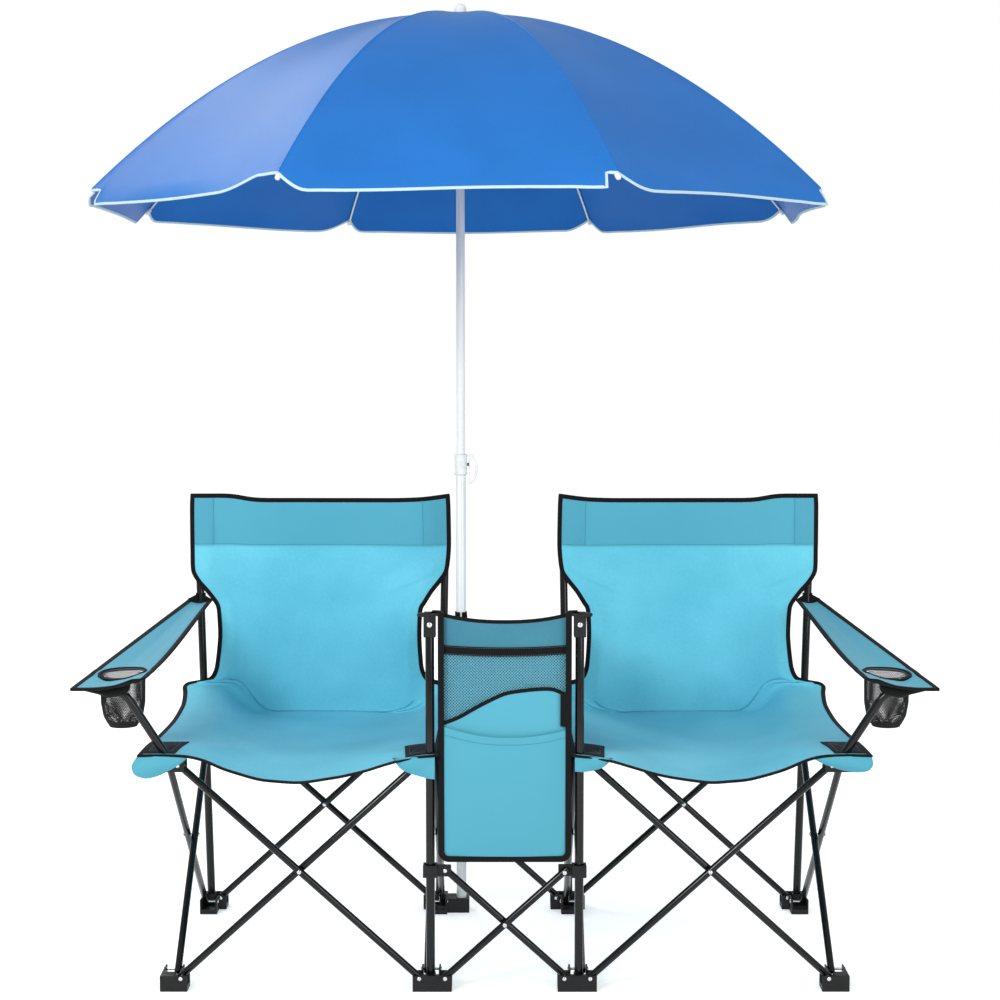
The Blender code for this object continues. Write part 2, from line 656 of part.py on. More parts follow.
def sling_rows(side):
    """Rows of points of one sling, seat and back in one sheet."""
    middle = side * (OUTER_LEG_X + INNER_LEG_X) / 2
    outer_half = (OUTER_LEG_X - INNER_LEG_X) / 2 + SLING_OUTER_MARGIN
    inner_half = (OUTER_LEG_X - INNER_LEG_X) / 2 + SLING_INNER_MARGIN
    base = BRACKET_TOP + SLING_CLEARANCE + SLING_THICKNESS
    front = FRONT_Y - SLING_FRONT_MARGIN
    steps = len(SAG_SHARES) - 1
    rows = []
    for back_share, rise_share, width_share, dip_share, bow_share in SLING_ROW_SHARES:
        height = lerp(base, BACK_HEM_HEIGHT, rise_share)
        post = back_post_point(side, True, height)
        behind = post.y - POST_RADIUS - SLING_THICKNESS - SLING_CLEARANCE
        edge_y = lerp(front, behind, back_share)
        row = []
        for k in range(steps + 1):
            across = k / steps
            # The back lies flat on the posts and bows only between them
            bow = max(0.0, math.sin(math.pi * (k - 1) / (steps - 2)))
            outer_x = middle + side * outer_half * width_share
            # The inner edge stands in line with the post at the seat and over it at the back
            inner_reach = inner_half * width_share
            if rise_share > 0.5:
                inner_reach = abs(back_post_point(side, False, height).x - middle) + POST_RADIUS
            inner_x = middle - side * inner_reach
            point = Vector((
                lerp(outer_x, inner_x, across),
                edge_y + BACK_SAG * bow_share * bow,
                height - SEAT_DIP * dip_share * SAG_SHARES[k],
            ))
            row.append(point)
        rows.append(row)
    return rows


def seat_sling(side, label):
    """Seat and back of one chair, cut out where the table post and the arm tube pass through it."""
    rows = sling_rows(side)
    name = f"{label}_seat_sling"
    mesh_builder = sheet(rows)
    sling = add_object(name, mesh_builder, SEAT_CLOTH)
    facing_up = sling.data.polygons[0].normal.z > 0
    thicken(sling, SLING_THICKNESS, -1.0 if facing_up else 1.0)
    low = BRACKET_TOP - PART_OVERRUN
    high = BRACKET_TOP + 2 * PART_OVERRUN
    reach = POST_RADIUS + POST_CLEARANCE
    post_hole = turned(
        [(0.0, low), (reach, low), (reach, high), (0.0, high)],
        side * INNER_LEG_X, FRONT_Y, 2 * TUBE_SIDES,
    )
    combine(sling, add_helper(f"{name}_post_hole", post_hole), "DIFFERENCE")
    foot, upper = arm_tube_points(side)[:2]
    arm_hole = rod([foot - (upper - foot) * 0.2, foot.lerp(upper, 0.4)],
                   ARM_TUBE_DIAMETER + 2 * POST_CLEARANCE, 2 * TUBE_SIDES)
    combine(sling, add_helper(f"{name}_arm_hole", arm_hole), "DIFFERENCE")


def table_bag():
    """The table top with the bag under it: one sewn piece with an open pocket in front."""
    half = BAG_HALF_WIDTH
    sheet_share = BAG_SHEET / 2
    front = FRONT_Y + BAG_SHEET
    rear = -BAG_POLE_GAP - LOWER_POLE_DIAMETER / 2
    top = BAG_TOP
    rear_top = top - TABLE_REAR_DROP
    bag_top = rear_top - BAG_BODY_TOP_GAP
    middle = (front + rear) / 2
    # Section from the side: bag below, front panel, and the table sloping down to the back
    bag_points = [(front - BAG_SHEET, BAG_BOTTOM), (rear, BAG_BOTTOM), (rear, bag_top), (front, bag_top)]
    table_points = [
        (front, top - BAG_SHEET),
        (middle, (top + rear_top) / 2 - BAG_SHEET),
        (rear, rear_top - BAG_SHEET),
        (rear, rear_top),
        (middle, (top + rear_top) / 2),
        (front - BAG_SHEET, top),
    ]
    steps = 8
    mesh_builder = bmesh.new()
    sections = []
    for k in range(steps + 1):
        across = k / steps
        x = lerp(-half, half, across)
        dip = TABLE_DIP * math.sin(math.pi * across)
        section = [mesh_builder.verts.new((x, y, z)) for y, z in bag_points]
        section += [mesh_builder.verts.new((x, y, z - dip)) for y, z in table_points]
        sections.append(section)
    for first, second in zip(sections, sections[1:]):
        bridge(mesh_builder, first, second)
    mesh_builder.faces.new(sections[0])
    mesh_builder.faces.new(sections[-1])
    body = add_object("table_bag", mesh_builder, SEAT_CLOTH)
    # Side gussets carry the table down to the bag
    for sign, label in ((-1.0, "left"), (1.0, "right")):
        gusset = sorted((sign * (half - sheet_share), sign * (half - sheet_share - BAG_SHEET)))
        outline = [
            (front - sheet_share, bag_top - sheet_share),
            (rear - sheet_share, bag_top - sheet_share),
            (rear - sheet_share, rear_top - sheet_share),
            (front - sheet_share, top - sheet_share),
        ]
        strip = bmesh.new()
        first = [strip.verts.new((gusset[0], y, z)) for y, z in outline]
        second = [strip.verts.new((gusset[1], y, z)) for y, z in outline]
        bridge(strip, first, second)
        strip.faces.new(first)
        strip.faces.new(second)
        combine(body, add_helper(f"table_bag_gusset_{label}", strip), "UNION")
    inside = box(
        (-half + 2 * BAG_SHEET, front + BAG_SHEET, BAG_BOTTOM + BAG_SHEET),
        (half - 2 * BAG_SHEET, rear - BAG_SHEET, bag_top + BAG_SHEET),
    )
    combine(body, add_helper("table_bag_inside", inside), "DIFFERENCE")
    pocket_front = front - BAG_SHEET - BAG_POCKET_DEPTH
    pocket_top = BAG_BOTTOM + BAG_POCKET_RISE
    pocket = box(
        (-half + sheet_share, pocket_front, BAG_BOTTOM + sheet_share),
        (half - sheet_share, front - sheet_share, pocket_top),
    )
    combine(body, add_helper("table_bag_pocket", pocket), "UNION")
    room = box(
        (-half + sheet_share + BAG_SHEET, pocket_front + BAG_SHEET, BAG_BOTTOM + sheet_share + BAG_SHEET),
        (half - sheet_share - BAG_SHEET, front - BAG_SHEET + SLING_CLEARANCE, pocket_top + PART_OVERRUN),
    )
    combine(body, add_helper("table_bag_pocket_room", room), "DIFFERENCE")


def lower_pole():
    """The white lower pole, with the collar that takes the upper pole and the lock pin."""
    floor = CUP_FLOOR + POLE_CLEARANCE
    outer = LOWER_POLE_DIAMETER / 2
    bore = outer - POLE_WALL
    collar = outer + COLLAR_WALL
    collar_low = LOWER_POLE_TOP - COLLAR_HEIGHT
    profile = [
        (bore, floor), (outer, floor), (outer, collar_low), (collar, collar_low + COLLAR_WALL),
        (collar, LOWER_POLE_TOP - COLLAR_WALL / 2), (outer, LOWER_POLE_TOP), (bore, LOWER_POLE_TOP),
    ]
    pole = add_object("lower_pole", turned(profile, POLE_X, 0.0, 2 * TUBE_SIDES), WHITE_ENAMEL)
    hole = rod(
        [(POLE_X, 0.0, pin_height()), (POLE_X + collar + PART_OVERRUN, 0.0, pin_height())],
        PIN_DIAMETER + 2 * POLE_CLEARANCE, TUBE_SIDES,
    )
    combine(pole, add_helper("lower_pole_pin_hole", hole), "DIFFERENCE")


def pin_height():
    return LOWER_POLE_TOP - COLLAR_HEIGHT / 2


def lock_pin():
    """The pull pin that sets the pole's height: a shank through the collar with a D-shaped finger loop."""
    start = POLE_X + UPPER_POLE_DIAMETER / 2 + POLE_CLEARANCE
    end = POLE_X + LOWER_POLE_DIAMETER / 2 + COLLAR_WALL + PIN_REACH
    pin = add_object(
        "pole_lock_pin", rod([(start, 0.0, pin_height()), (end, 0.0, pin_height())], PIN_DIAMETER, TUBE_SIDES),
        WHITE_PLASTIC,
    )
    steps = 10
    places = []
    for k in range(steps + 1):
        turn = math.pi * (k / steps - 0.5)
        places.append(Vector((
            end - LOOP_WIRE / 4 + LOOP_WIDTH * math.cos(turn),
            0.0,
            pin_height() - LOOP_DROP + LOOP_HEIGHT / 2 * math.sin(turn),
        )))
    loop = bmesh.new()
    rings = []
    for k, place in enumerate(places):
        ahead = (places[(k + 1) % len(places)] - places[k - 1]).normalized()
        aside = Vector((0.0, 1.0, 0.0))
        other = ahead.cross(aside)
        ring = []
        for side in range(ROD_SIDES):
            turn = 2 * math.pi * side / ROD_SIDES
            offset = math.cos(turn) * aside + math.sin(turn) * other
            ring.append(loop.verts.new(place + offset * LOOP_WIRE / 2))
        rings.append(ring)
    for k in range(len(rings)):
        bridge(loop, rings[k], rings[(k + 1) % len(rings)])
    combine(pin, add_helper("pole_lock_pin_loop", loop), "UNION")


RING_STEP = (CANOPY_RADIUS - CANOPY_HOLE) / CANOPY_RINGS


def cloth_height(radius):
    """Height of the canopy's top side above a rib, straight from one ring of the cloth to the next."""
    ring = min(int((radius - CANOPY_HOLE) / RING_STEP), CANOPY_RINGS - 1)
    inner = CANOPY_HOLE + RING_STEP * ring
    low, high = [CANOPY_DROP * ((inner + step) / CANOPY_RADIUS) ** 2 for step in (0.0, RING_STEP)]
    return CANOPY_APEX - lerp(low, high, (radius - inner) / RING_STEP)


def rib_height(radius):
    """Height of a rib's centre line, just under the crease of the canopy's cloth."""
    slope = CANOPY_DROP * (2 * radius + RING_STEP) / CANOPY_RADIUS ** 2
    below = CANOPY_THICKNESS + RIB_GAP + RIB_DIAMETER / 2
    return cloth_height(radius) - below * math.hypot(1.0, RIB_CREASE_SHARE * slope)


def strut_height():
    """Height of the pivot between a strut and its rib."""
    return rib_height(STRUT_RADIUS) - STRUT_DROP


def upper_pole():
    """The upper pole: it runs from inside the lower pole up into the crown."""
    low = LOWER_POLE_TOP - UPPER_POLE_INSERT
    high = rib_height(HINGE_RADIUS) - CROWN_HEIGHT / 2 - POLE_CLEARANCE
    body = tube((POLE_X, 0.0, low), (POLE_X, 0.0, high), UPPER_POLE_DIAMETER, POLE_WALL, 2 * TUBE_SIDES)
    add_object("upper_pole", body, WHITE_ENAMEL)


def crown():
    """The crown that the ribs hinge on, with the neck and ferrule that clamp the cloth."""
    low = rib_height(HINGE_RADIUS) - CROWN_HEIGHT / 2
    cloth_low = CANOPY_APEX - CANOPY_THICKNESS - RIB_GAP
    cloth_high = CANOPY_APEX + RIB_GAP
    shoulder = CANOPY_APEX - CANOPY_THICKNESS - 2 * RIB_GAP
    profile = [
        (0.0, low), (CROWN_RADIUS, low), (CROWN_RADIUS, shoulder - CROWN_HEIGHT / 4),
        (CROWN_NECK_RADIUS, shoulder), (CROWN_NECK_RADIUS, cloth_low), (CROWN_NECK_RADIUS, cloth_high),
        (FERRULE_RADIUS, cloth_high), (FERRULE_RADIUS, cloth_high + FERRULE_HEIGHT / 2),
        (FERRULE_RADIUS * math.cos(math.radians(40.0)), cloth_high + FERRULE_HEIGHT * 0.87),
        (0.0, cloth_high + FERRULE_HEIGHT),
    ]
    add_object("crown", turned(profile, POLE_X, 0.0, 2 * TUBE_SIDES), WHITE_PLASTIC)


def runner_pivot_height():
    """The struts are as long as the ribs are from hinge to strut, so the runner lies twice as low."""
    top = rib_height(HINGE_RADIUS)
    return top - 2 * (top - strut_height())


def runner():
    """The runner that slides on the upper pole and carries the struts."""
    middle = runner_pivot_height()
    low = middle - RUNNER_HEIGHT + RUNNER_FLANGE / 2
    flange_low, high = middle - RUNNER_FLANGE / 2, middle + RUNNER_FLANGE / 2
    bore = UPPER_POLE_DIAMETER / 2 + POLE_CLEARANCE
    sleeve = lerp(bore, CROWN_RADIUS, 0.6)
    profile = [
        (bore, low), (sleeve, low), (sleeve, flange_low), (CROWN_RADIUS, flange_low),
        (CROWN_RADIUS, high), (bore, high),
    ]
    add_object("runner", turned(profile, POLE_X, 0.0, 2 * TUBE_SIDES), WHITE_PLASTIC)


FIRST_RIB_TURN = math.radians(201.9)


def rib_direction(number):
    """Horizontal direction of a rib, and the one square to it."""
    turn = FIRST_RIB_TURN + 2 * math.pi * number / RIB_COUNT
    outwards = Vector((math.cos(turn), math.sin(turn), 0.0))
    return outwards, Vector((-outwards.y, outwards.x, 0.0))


def rib_and_strut(number):
    outwards, aside = rib_direction(number)
    axis = Vector((POLE_X, 0.0, 0.0))
    start = HINGE_RADIUS - RIB_DIAMETER / 2
    points = [axis + outwards * start + Vector((0.0, 0.0, rib_height(HINGE_RADIUS)))]
    for ring in range(1, CANOPY_RINGS + 1):
        radius = CANOPY_HOLE + RING_STEP * ring
        points.append(axis + outwards * radius + Vector((0.0, 0.0, rib_height(radius))))
    add_object(f"rib_{number + 1}", rod(points, RIB_DIAMETER), WHITE_ENAMEL)
    shift = aside * ((RIB_DIAMETER + STRUT_DIAMETER) / 2 + STRUT_GAP)
    low = axis + outwards * HINGE_RADIUS + Vector((0.0, 0.0, runner_pivot_height())) + shift
    high = axis + outwards * STRUT_RADIUS + Vector((0.0, 0.0, strut_height())) + shift
    add_object(f"strut_{number + 1}", rod([low, high], STRUT_DIAMETER), WHITE_ENAMEL)


def canopy():
    """The canopy: eight gores on the ribs, each pulled in a little at the hem, with a hanging valance."""
    columns = 6
    mesh_builder = bmesh.new()
    grid = []
    total = RIB_COUNT * columns
    gore = 2 * math.pi / RIB_COUNT
    for ring in range(CANOPY_RINGS + 1):
        radius = CANOPY_HOLE + RING_STEP * ring
        row = []
        for column in range(total):
            gore_number, within = divmod(column, columns)
            share = within / columns
            first = FIRST_RIB_TURN + gore * gore_number
            ends = []
            for turn in (first, first + gore):
                ends.append(Vector((radius * math.cos(turn), radius * math.sin(turn), 0.0)))
            point = ends[0].lerp(ends[1], share)
            swell = math.sin(math.pi * share) * ring / CANOPY_RINGS
            reach = point.length - HEM_PULL * swell
            point = point.normalized() * reach
            height = CANOPY_APEX - CANOPY_DROP * (radius / CANOPY_RADIUS) ** 2
            row.append(mesh_builder.verts.new((POLE_X + point.x, point.y, height)))
        grid.append(row)
    for first, second in zip(grid, grid[1:]):
        bridge(mesh_builder, first, second)
    # The valance hangs between the ribs and is notched at each of them
    hem = []
    for column in range(total):
        top = grid[-1][column].co
        if column % columns == 0:
            hem.append(None)
            continue
        hem.append(mesh_builder.verts.new(top - Vector((0.0, 0.0, VALANCE_HEIGHT))))
    for column in range(total):
        following = (column + 1) % total
        corners = [grid[-1][column], hem[column], hem[following], grid[-1][following]]
        corners = [corner for corner in corners if corner is not None]
        mesh_builder.faces.new(corners)
    cloth = add_object("canopy", mesh_builder, CANOPY_CLOTH)
    facing_up = cloth.data.polygons[0].normal.z > 0
    thicken(cloth, CANOPY_THICKNESS, -1.0 if facing_up else 1.0)


def clear_scene():
    for obj in list(bpy.data.objects):
        bpy.data.objects.remove(obj, do_unlink=True)


def build():
    clear_scene()
    for side, label in ((-1.0, "left"), (1.0, "right")):
        front_outer_foot(side, label)
        table_post(side, label)
        back_post(side, label, True)
        back_post(side, label, False)
        braces(side, label)
        centre_slider(side, label)
        back_slider(side, label)
        arm_post(side, label)
        armrest(side, label)
        seat_sling(side, label)
    centre_braces()
    table_bag()
    lower_pole()
    lock_pin()
    upper_pole()
    crown()
    runner()
    for number in range(RIB_COUNT):
        rib_and_strut(number)
    canopy()


build()
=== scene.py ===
"""Looks for a folding two-seat camp chair with a table bag and a parasol, in metres."""

import math

import bpy
import numpy as np
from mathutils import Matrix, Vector, noise


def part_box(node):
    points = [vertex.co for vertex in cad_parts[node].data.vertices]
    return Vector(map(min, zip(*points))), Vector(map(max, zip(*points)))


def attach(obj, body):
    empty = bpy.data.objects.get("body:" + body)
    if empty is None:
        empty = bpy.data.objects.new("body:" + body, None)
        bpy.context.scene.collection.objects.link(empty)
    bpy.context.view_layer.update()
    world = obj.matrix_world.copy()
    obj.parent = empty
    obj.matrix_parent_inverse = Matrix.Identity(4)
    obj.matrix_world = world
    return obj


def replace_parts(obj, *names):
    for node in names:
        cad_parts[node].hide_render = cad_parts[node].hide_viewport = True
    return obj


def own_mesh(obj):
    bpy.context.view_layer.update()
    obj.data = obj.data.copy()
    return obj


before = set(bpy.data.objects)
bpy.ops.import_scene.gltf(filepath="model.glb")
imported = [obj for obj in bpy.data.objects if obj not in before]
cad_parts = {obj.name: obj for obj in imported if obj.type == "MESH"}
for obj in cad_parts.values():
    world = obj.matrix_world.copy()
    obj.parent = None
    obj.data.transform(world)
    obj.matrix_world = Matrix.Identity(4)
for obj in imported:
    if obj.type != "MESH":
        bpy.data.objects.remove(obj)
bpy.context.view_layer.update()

# Camera
# The photograph was taken from in front, a little above the seats, with a long lens. The place and lens
# come from the feet, the pole and the rib tips in the photograph.
CAMERA_PLACE = (-0.0085, -3.932, 1.173)
CAMERA_TILT = math.radians(85.18)
CAMERA_LENS_MM, CAMERA_SENSOR_MM = 70.8, 36.0


def link(name, data):
    """A new object with this data in the scene."""
    obj = bpy.data.objects.new(name, data)
    bpy.context.scene.collection.objects.link(obj)
    return obj


camera_data = bpy.data.cameras.new("photo_camera")
camera_data.lens = CAMERA_LENS_MM
camera_data.sensor_width = CAMERA_SENSOR_MM
camera = link("photo_camera", camera_data)
camera.location = CAMERA_PLACE
camera.rotation_euler = (CAMERA_TILT, 0.0, 0.0)
bpy.context.scene.camera = camera

# Studio
# A white floor and a white surround, as in a cut-out studio picture, with large soft lamps from the upper
# left, the right and behind. The floor looks white to the camera and still takes the object's shadow.
FLOOR_SIZE, FLOOR_GLOW, SURROUND_LIGHT = 30.0, 0.50, 0.62
LAMPS = (
    # Name, place, aim, size and watts
    ("key_lamp", (-2.3, -3.9, 2.7), (0.0, 0.0, 0.7), 1.4, 112.0),
    ("fill_lamp", (2.8, -3.6, 1.9), (0.0, 0.0, 0.8), 2.4, 60.0),
    ("back_lamp", (-2.4, 3.3, 3.7), (-0.3, 0.0, 1.6), 2.0, 66.0),
)
bpy.ops.mesh.primitive_plane_add(size=FLOOR_SIZE)
floor = bpy.context.object
floor.name = "floor"


def linear(hex_colour):
    """An sRGB hex value as the linear colour that a shader takes."""
    values = []
    for k in (1, 3, 5):
        value = int(hex_colour[k:k + 2], 16) / 255
        values.append(value / 12.92 if value <= 0.04045 else ((value + 0.055) / 1.055) ** 2.4)
    return (*values, 1.0)


def feed(tree, node, inputs):
    """Sets a node's inputs, each to a plain value or from the socket that feeds it."""
    for name, value in inputs.items():
        if isinstance(value, bpy.types.NodeSocket):
            tree.links.new(value, node.inputs[name])
        else:
            node.inputs[name].default_value = value


def add(tree, kind, inputs=None, stops=(), **settings):
    """Adds a node with its settings and inputs; stops are the places and hex colours of a ramp."""
    node = tree.nodes.new("ShaderNode" + kind)
    for name, value in settings.items():
        setattr(node, name, value)
    for number, (place, colour) in enumerate(stops):
        node.color_ramp.elements[number].position = place
        node.color_ramp.elements[number].color = linear(colour)
    feed(tree, node, inputs or {})
    return node


def cleared_tree(owner):
    """The node tree of a material or a world, without its first nodes."""
    owner.use_nodes = True
    owner.node_tree.nodes.clear()
    return owner.node_tree


def seen_by(tree, *rays):
    """One for any of these kinds of ray, and otherwise zero."""
    path = add(tree, "LightPath")
    seen = path.outputs[rays[0]]
    for ray in rays[1:]:
        seen = add(tree, "Math", {0: seen, 1: path.outputs[ray]}, operation="MAXIMUM").outputs[0]
    return seen


paper = bpy.data.materials.new("white_paper_floor")
tree = cleared_tree(paper)
seen = seen_by(tree, "Is Camera Ray", "Is Glossy Ray", "Is Transmission Ray")
diffuse = add(tree, "BsdfDiffuse", {"Color": linear("#f2f2f2")})
glow = add(tree, "Emission", {"Color": linear("#ffffff"), "Strength": FLOOR_GLOW})
both = add(tree, "AddShader", {0: diffuse.outputs[0], 1: glow.outputs[0]})
shown = add(tree, "MixShader", {0: seen, 1: diffuse.outputs[0], 2: both.outputs[0]})
add(tree, "OutputMaterial", {"Surface": shown.outputs[0]})
floor.data.materials.append(paper)

world = bpy.data.worlds.new("studio")
bpy.context.scene.world = world
tree = cleared_tree(world)
seen = seen_by(tree, "Is Camera Ray", "Is Transmission Ray")
level = add(tree, "MapRange", {"Value": seen, "To Min": SURROUND_LIGHT, "To Max": 1.0})
background = add(tree, "Background", {"Color": (1.0, 1.0, 1.0, 1.0), "Strength": level.outputs[0]})
add(tree, "OutputWorld", {"Surface": background.outputs[0]})

for name, place, aim, size, watts in LAMPS:
    lamp_data = bpy.data.lights.new(name, "AREA")
    lamp_data.shape = "SQUARE"
    lamp_data.size = size
    lamp_data.energy = watts
    lamp = link(name, lamp_data)
    lamp.location = place
    lamp.rotation_euler = (Vector(aim) - Vector(place)).to_track_quat("-Z", "Y").to_euler()

bpy.context.scene.view_settings.view_transform = "Standard"

# Feet, corner brackets and sliders
# Injection-moulded polypropylene blocks with channelled arms that take the ends of the tubes. They get
# the rounded edges of a moulding here; the steel posts in them are pieces of their own.
EDGE_ROUNDING, WELD = 0.0012, 0.00001
FOOT_TOP, FOOT_CUT = 0.0295, 0.0003
SIDES = (("left", -1.0), ("right", 1.0))
LEG_BODY = {"left": "frame", "right": "right_table_leg"}


def activate(obj):
    """Makes an object the active one and the only one selected."""
    for other in bpy.context.selected_objects:
        other.select_set(False)
    obj.select_set(True)
    bpy.context.view_layer.objects.active = obj


def round_edges(piece, width, segments, degrees):
    """Rounds the edges of the active piece that turn by more than an angle."""
    bevel = piece.modifiers.new("rounding", "BEVEL")
    bevel.width = width
    bevel.segments = segments
    bevel.limit_method = "ANGLE"
    bevel.angle_limit = math.radians(degrees)
    bpy.ops.object.modifier_apply(modifier=bevel.name)


def dress(piece, finish, body):
    """Gives a piece its one finish and the body that it rides on."""
    piece.data.materials.clear()
    piece.data.materials.append(finish)
    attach(piece, body)
    return piece


def new_material(name):
    """A new material with its tree and its shader."""
    material = bpy.data.materials.new(name)
    material.use_nodes = True
    return material, material.node_tree, material.node_tree.nodes["Principled BSDF"]


def mottled(name, tone, stops, plain, stretch=None, gloss=None, relief=None):
    """A material whose colour, and where given its gloss, follows one noise and its relief another texture.

    tone, gloss and plain are inputs of the noise, of a map range and of the shader. relief is the texture's
    kind, its output and inputs, and the strength and depth of the bump.
    """
    material, tree, shader = new_material(name)
    place = add(tree, "TexCoord").outputs["Object"]
    spot = add(tree, "Mapping", {"Vector": place, "Scale": stretch}).outputs[0] if stretch else place
    level = add(tree, "TexNoise", {"Vector": spot, **tone}).outputs["Fac"]
    feed(
        tree, shader, {"Base Color": add(tree, "ValToRGB", {"Fac": level}, stops).outputs["Color"], **plain}
    )
    if gloss:
        feed(tree, shader, {"Roughness": add(tree, "MapRange", {"Value": level, **gloss}).outputs[0]})
    if relief:
        kind, output, inputs, strength, depth = relief
        height = add(tree, kind, {"Vector": place, **inputs}).outputs[output]
        bump = add(tree, "Bump", {"Height": height, "Strength": strength, "Distance": depth})
        feed(tree, shader, {"Normal": bump.outputs["Normal"]})
    return material


def moulded_copy(node, name, body, ceiling_z=None):
    """A copy of a CAD moulding in its place, its edges rounded, cut off above where a tube goes on."""
    piece = link(name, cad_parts[node].data.copy())
    activate(piece)
    bpy.ops.object.mode_set(mode="EDIT")
    bpy.ops.mesh.select_all(action="SELECT")
    bpy.ops.mesh.remove_doubles(threshold=WELD)
    if ceiling_z is not None:
        bpy.ops.mesh.select_all(action="SELECT")
        bpy.ops.mesh.bisect(
            plane_co=(0.0, 0.0, ceiling_z), plane_no=(0.0, 0.0, 1.0), use_fill=True, clear_outer=True,
        )
    bpy.ops.mesh.select_all(action="SELECT")
    bpy.ops.mesh.dissolve_limited(angle_limit=math.radians(1.0))
    bpy.ops.object.mode_set(mode="OBJECT")
    round_edges(piece, EDGE_ROUNDING, 2, 40.0)
    bpy.ops.object.shade_smooth_by_angle(angle=math.radians(40.0))
    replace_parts(dress(piece, polypropylene, body), node)


# Moulded polypropylene: a soft sheen with the fine grain of the mould's wall, a little dust in it
polypropylene = mottled(
    "moulded_polypropylene", {"Scale": 38.0, "Detail": 5.0, "Roughness": 0.6},
    ((0.35, "#0c0c0d"), (0.8, "#19191a")), {"IOR": 1.36}, gloss={"To Min": 0.38, "To Max": 0.56},
    relief=("TexNoise", "Fac", {"Scale": 900.0, "Detail": 3.0}, 0.25, 0.0002),
)

for label, side in SIDES:
    for node, body in (
        (f"{label}_front_outer_foot", f"{label}_front_outer_foot"),
        (f"{label}_front_inner_leg", LEG_BODY[label]),
        (f"{label}_inner_back_post", f"{label}_inner_back_post"),
        (f"{label}_outer_back_post", f"{label}_outer_back_post"),
    ):
        moulded_copy(node, f"{node}_foot", body, FOOT_TOP - FOOT_CUT)
    for node in (f"{label}_centre_slider", f"{label}_back_slider"):
        moulded_copy(node, f"{node}_moulding", node)

# Steel tubes
# The crossed braces, the posts and the arm tubes are drawn steel tube, powder-coated gloss black. The
# braces turn on rivets through each pair and are closed with plastic plugs at their ends.
FRONT_Y, REAR_Y = -0.482, 0.0245
INNER_X, OUTER_X = 0.133, 0.600
CHAIR_INSET, CENTRE_INSET, SIDE_INSET = 0.020, 0.02625, 0.03975
PIVOT_LOW, PIVOT_HIGH = 0.024, 0.411
PIVOT_MIDDLE = (PIVOT_LOW + PIVOT_HIGH) / 2
BRACE_DIAMETER, BRACE_PLANE = 0.013, 0.007
BRACE_OVERHANG = 0.008
TUBE_SIDES = 28
# How far a rivet's heads lie from its middle: at a crossing, in a moulding, in a slider, on a single tube
AT_CROSSING, AT_MOULDING, AT_SLIDER, AT_TUBE = 0.0142, 0.0178, 0.0118, 0.0076

# Powder coat: deep gloss black with a faint orange peel and fine handling scuffs that dull it
powder_coat = mottled(
    "black_powder_coat", {"Scale": 3.0, "Detail": 8.0, "Roughness": 0.65},
    ((0.45, "#070708"), (0.85, "#131315")),
    {"Coat Weight": 0.25, "Coat Roughness": 0.06, "Specular IOR Level": 0.20}, stretch=(60.0, 60.0, 9.0),
    gloss={"From Min": 0.4, "From Max": 0.75, "To Min": 0.10, "To Max": 0.34},
    relief=("TexNoise", "Fac", {"Scale": 420.0, "Detail": 1.0}, 0.10, 0.0003),
)


def apply_place(obj):
    """Moves an object's place into its mesh, so that it sits at the origin unturned."""
    activate(obj)
    bpy.ops.object.transform_apply(location=True, rotation=True, scale=True)


def merge(pieces):
    """Joins objects into the first of them."""
    activate(pieces[0])
    for piece in pieces:
        piece.select_set(True)
    if len(pieces) > 1:
        bpy.ops.object.join()
    return bpy.context.object


def join(name, pieces, finish, body):
    """Joins modelled parts into one piece with one finish, riding on one body."""
    whole = merge(pieces)
    whole.name = name
    whole.data.name = name
    bpy.ops.object.shade_smooth_by_angle(angle=math.radians(40.0))
    return dress(whole, finish, body)


def turned_bar(start, end, diameter, sides=TUBE_SIDES, end_rounding=0.0015):
    """A round bar between two points with rounded ends, as a tube with its end plugs looks."""
    start, end = Vector(start), Vector(end)
    bpy.ops.mesh.primitive_cylinder_add(
        vertices=sides, radius=diameter / 2, depth=(end - start).length, location=(start + end) / 2,
        rotation=(end - start).to_track_quat("Z", "Y").to_euler(),
    )
    bar = bpy.context.object
    apply_place(bar)
    round_edges(bar, end_rounding, 3, 60.0)
    return bar


def face_outwards(piece, weld=False):
    """Turns the faces of a closed piece outwards, after welding its doubled points where asked."""
    activate(piece)
    bpy.ops.object.mode_set(mode="EDIT")
    bpy.ops.mesh.select_all(action="SELECT")
    if weld:
        bpy.ops.mesh.remove_doubles(threshold=WELD)
    bpy.ops.mesh.normals_make_consistent(inside=False)
    bpy.ops.object.mode_set(mode="OBJECT")


def swept_tube(path, diameter, sides=TUBE_SIDES):
    """A bent tube along points: a bevelled curve made into a mesh, with its ends closed."""
    curve = bpy.data.curves.new("sweep", "CURVE")
    curve.dimensions = "3D"
    curve.bevel_depth = diameter / 2
    curve.bevel_resolution = max(1, sides // 4 - 1)
    curve.use_fill_caps = True
    spline = curve.splines.new("POLY")
    spline.points.add(len(path) - 1)
    for point, position in zip(spline.points, path):
        point.co = (*position, 1.0)
    activate(link("sweep", curve))
    bpy.ops.object.convert(target="MESH")
    tube = bpy.context.object
    face_outwards(tube, weld=True)
    return tube


def tube_piece(name, tube, body, node=None):
    """A powder-coated tube as a piece, in place of a CAD tube where one is named."""
    piece = join(f"{name}_tube", [tube], powder_coat, body)
    if node:
        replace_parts(piece, node)


def brace(name, low, high):
    """One crossed brace in place of its CAD tube, with the end plugs past its pivots."""
    low, high = Vector(low), Vector(high)
    along = (high - low).normalized() * BRACE_OVERHANG
    tube_piece(name, turned_bar(low - along, high + along, BRACE_DIAMETER), name, name)


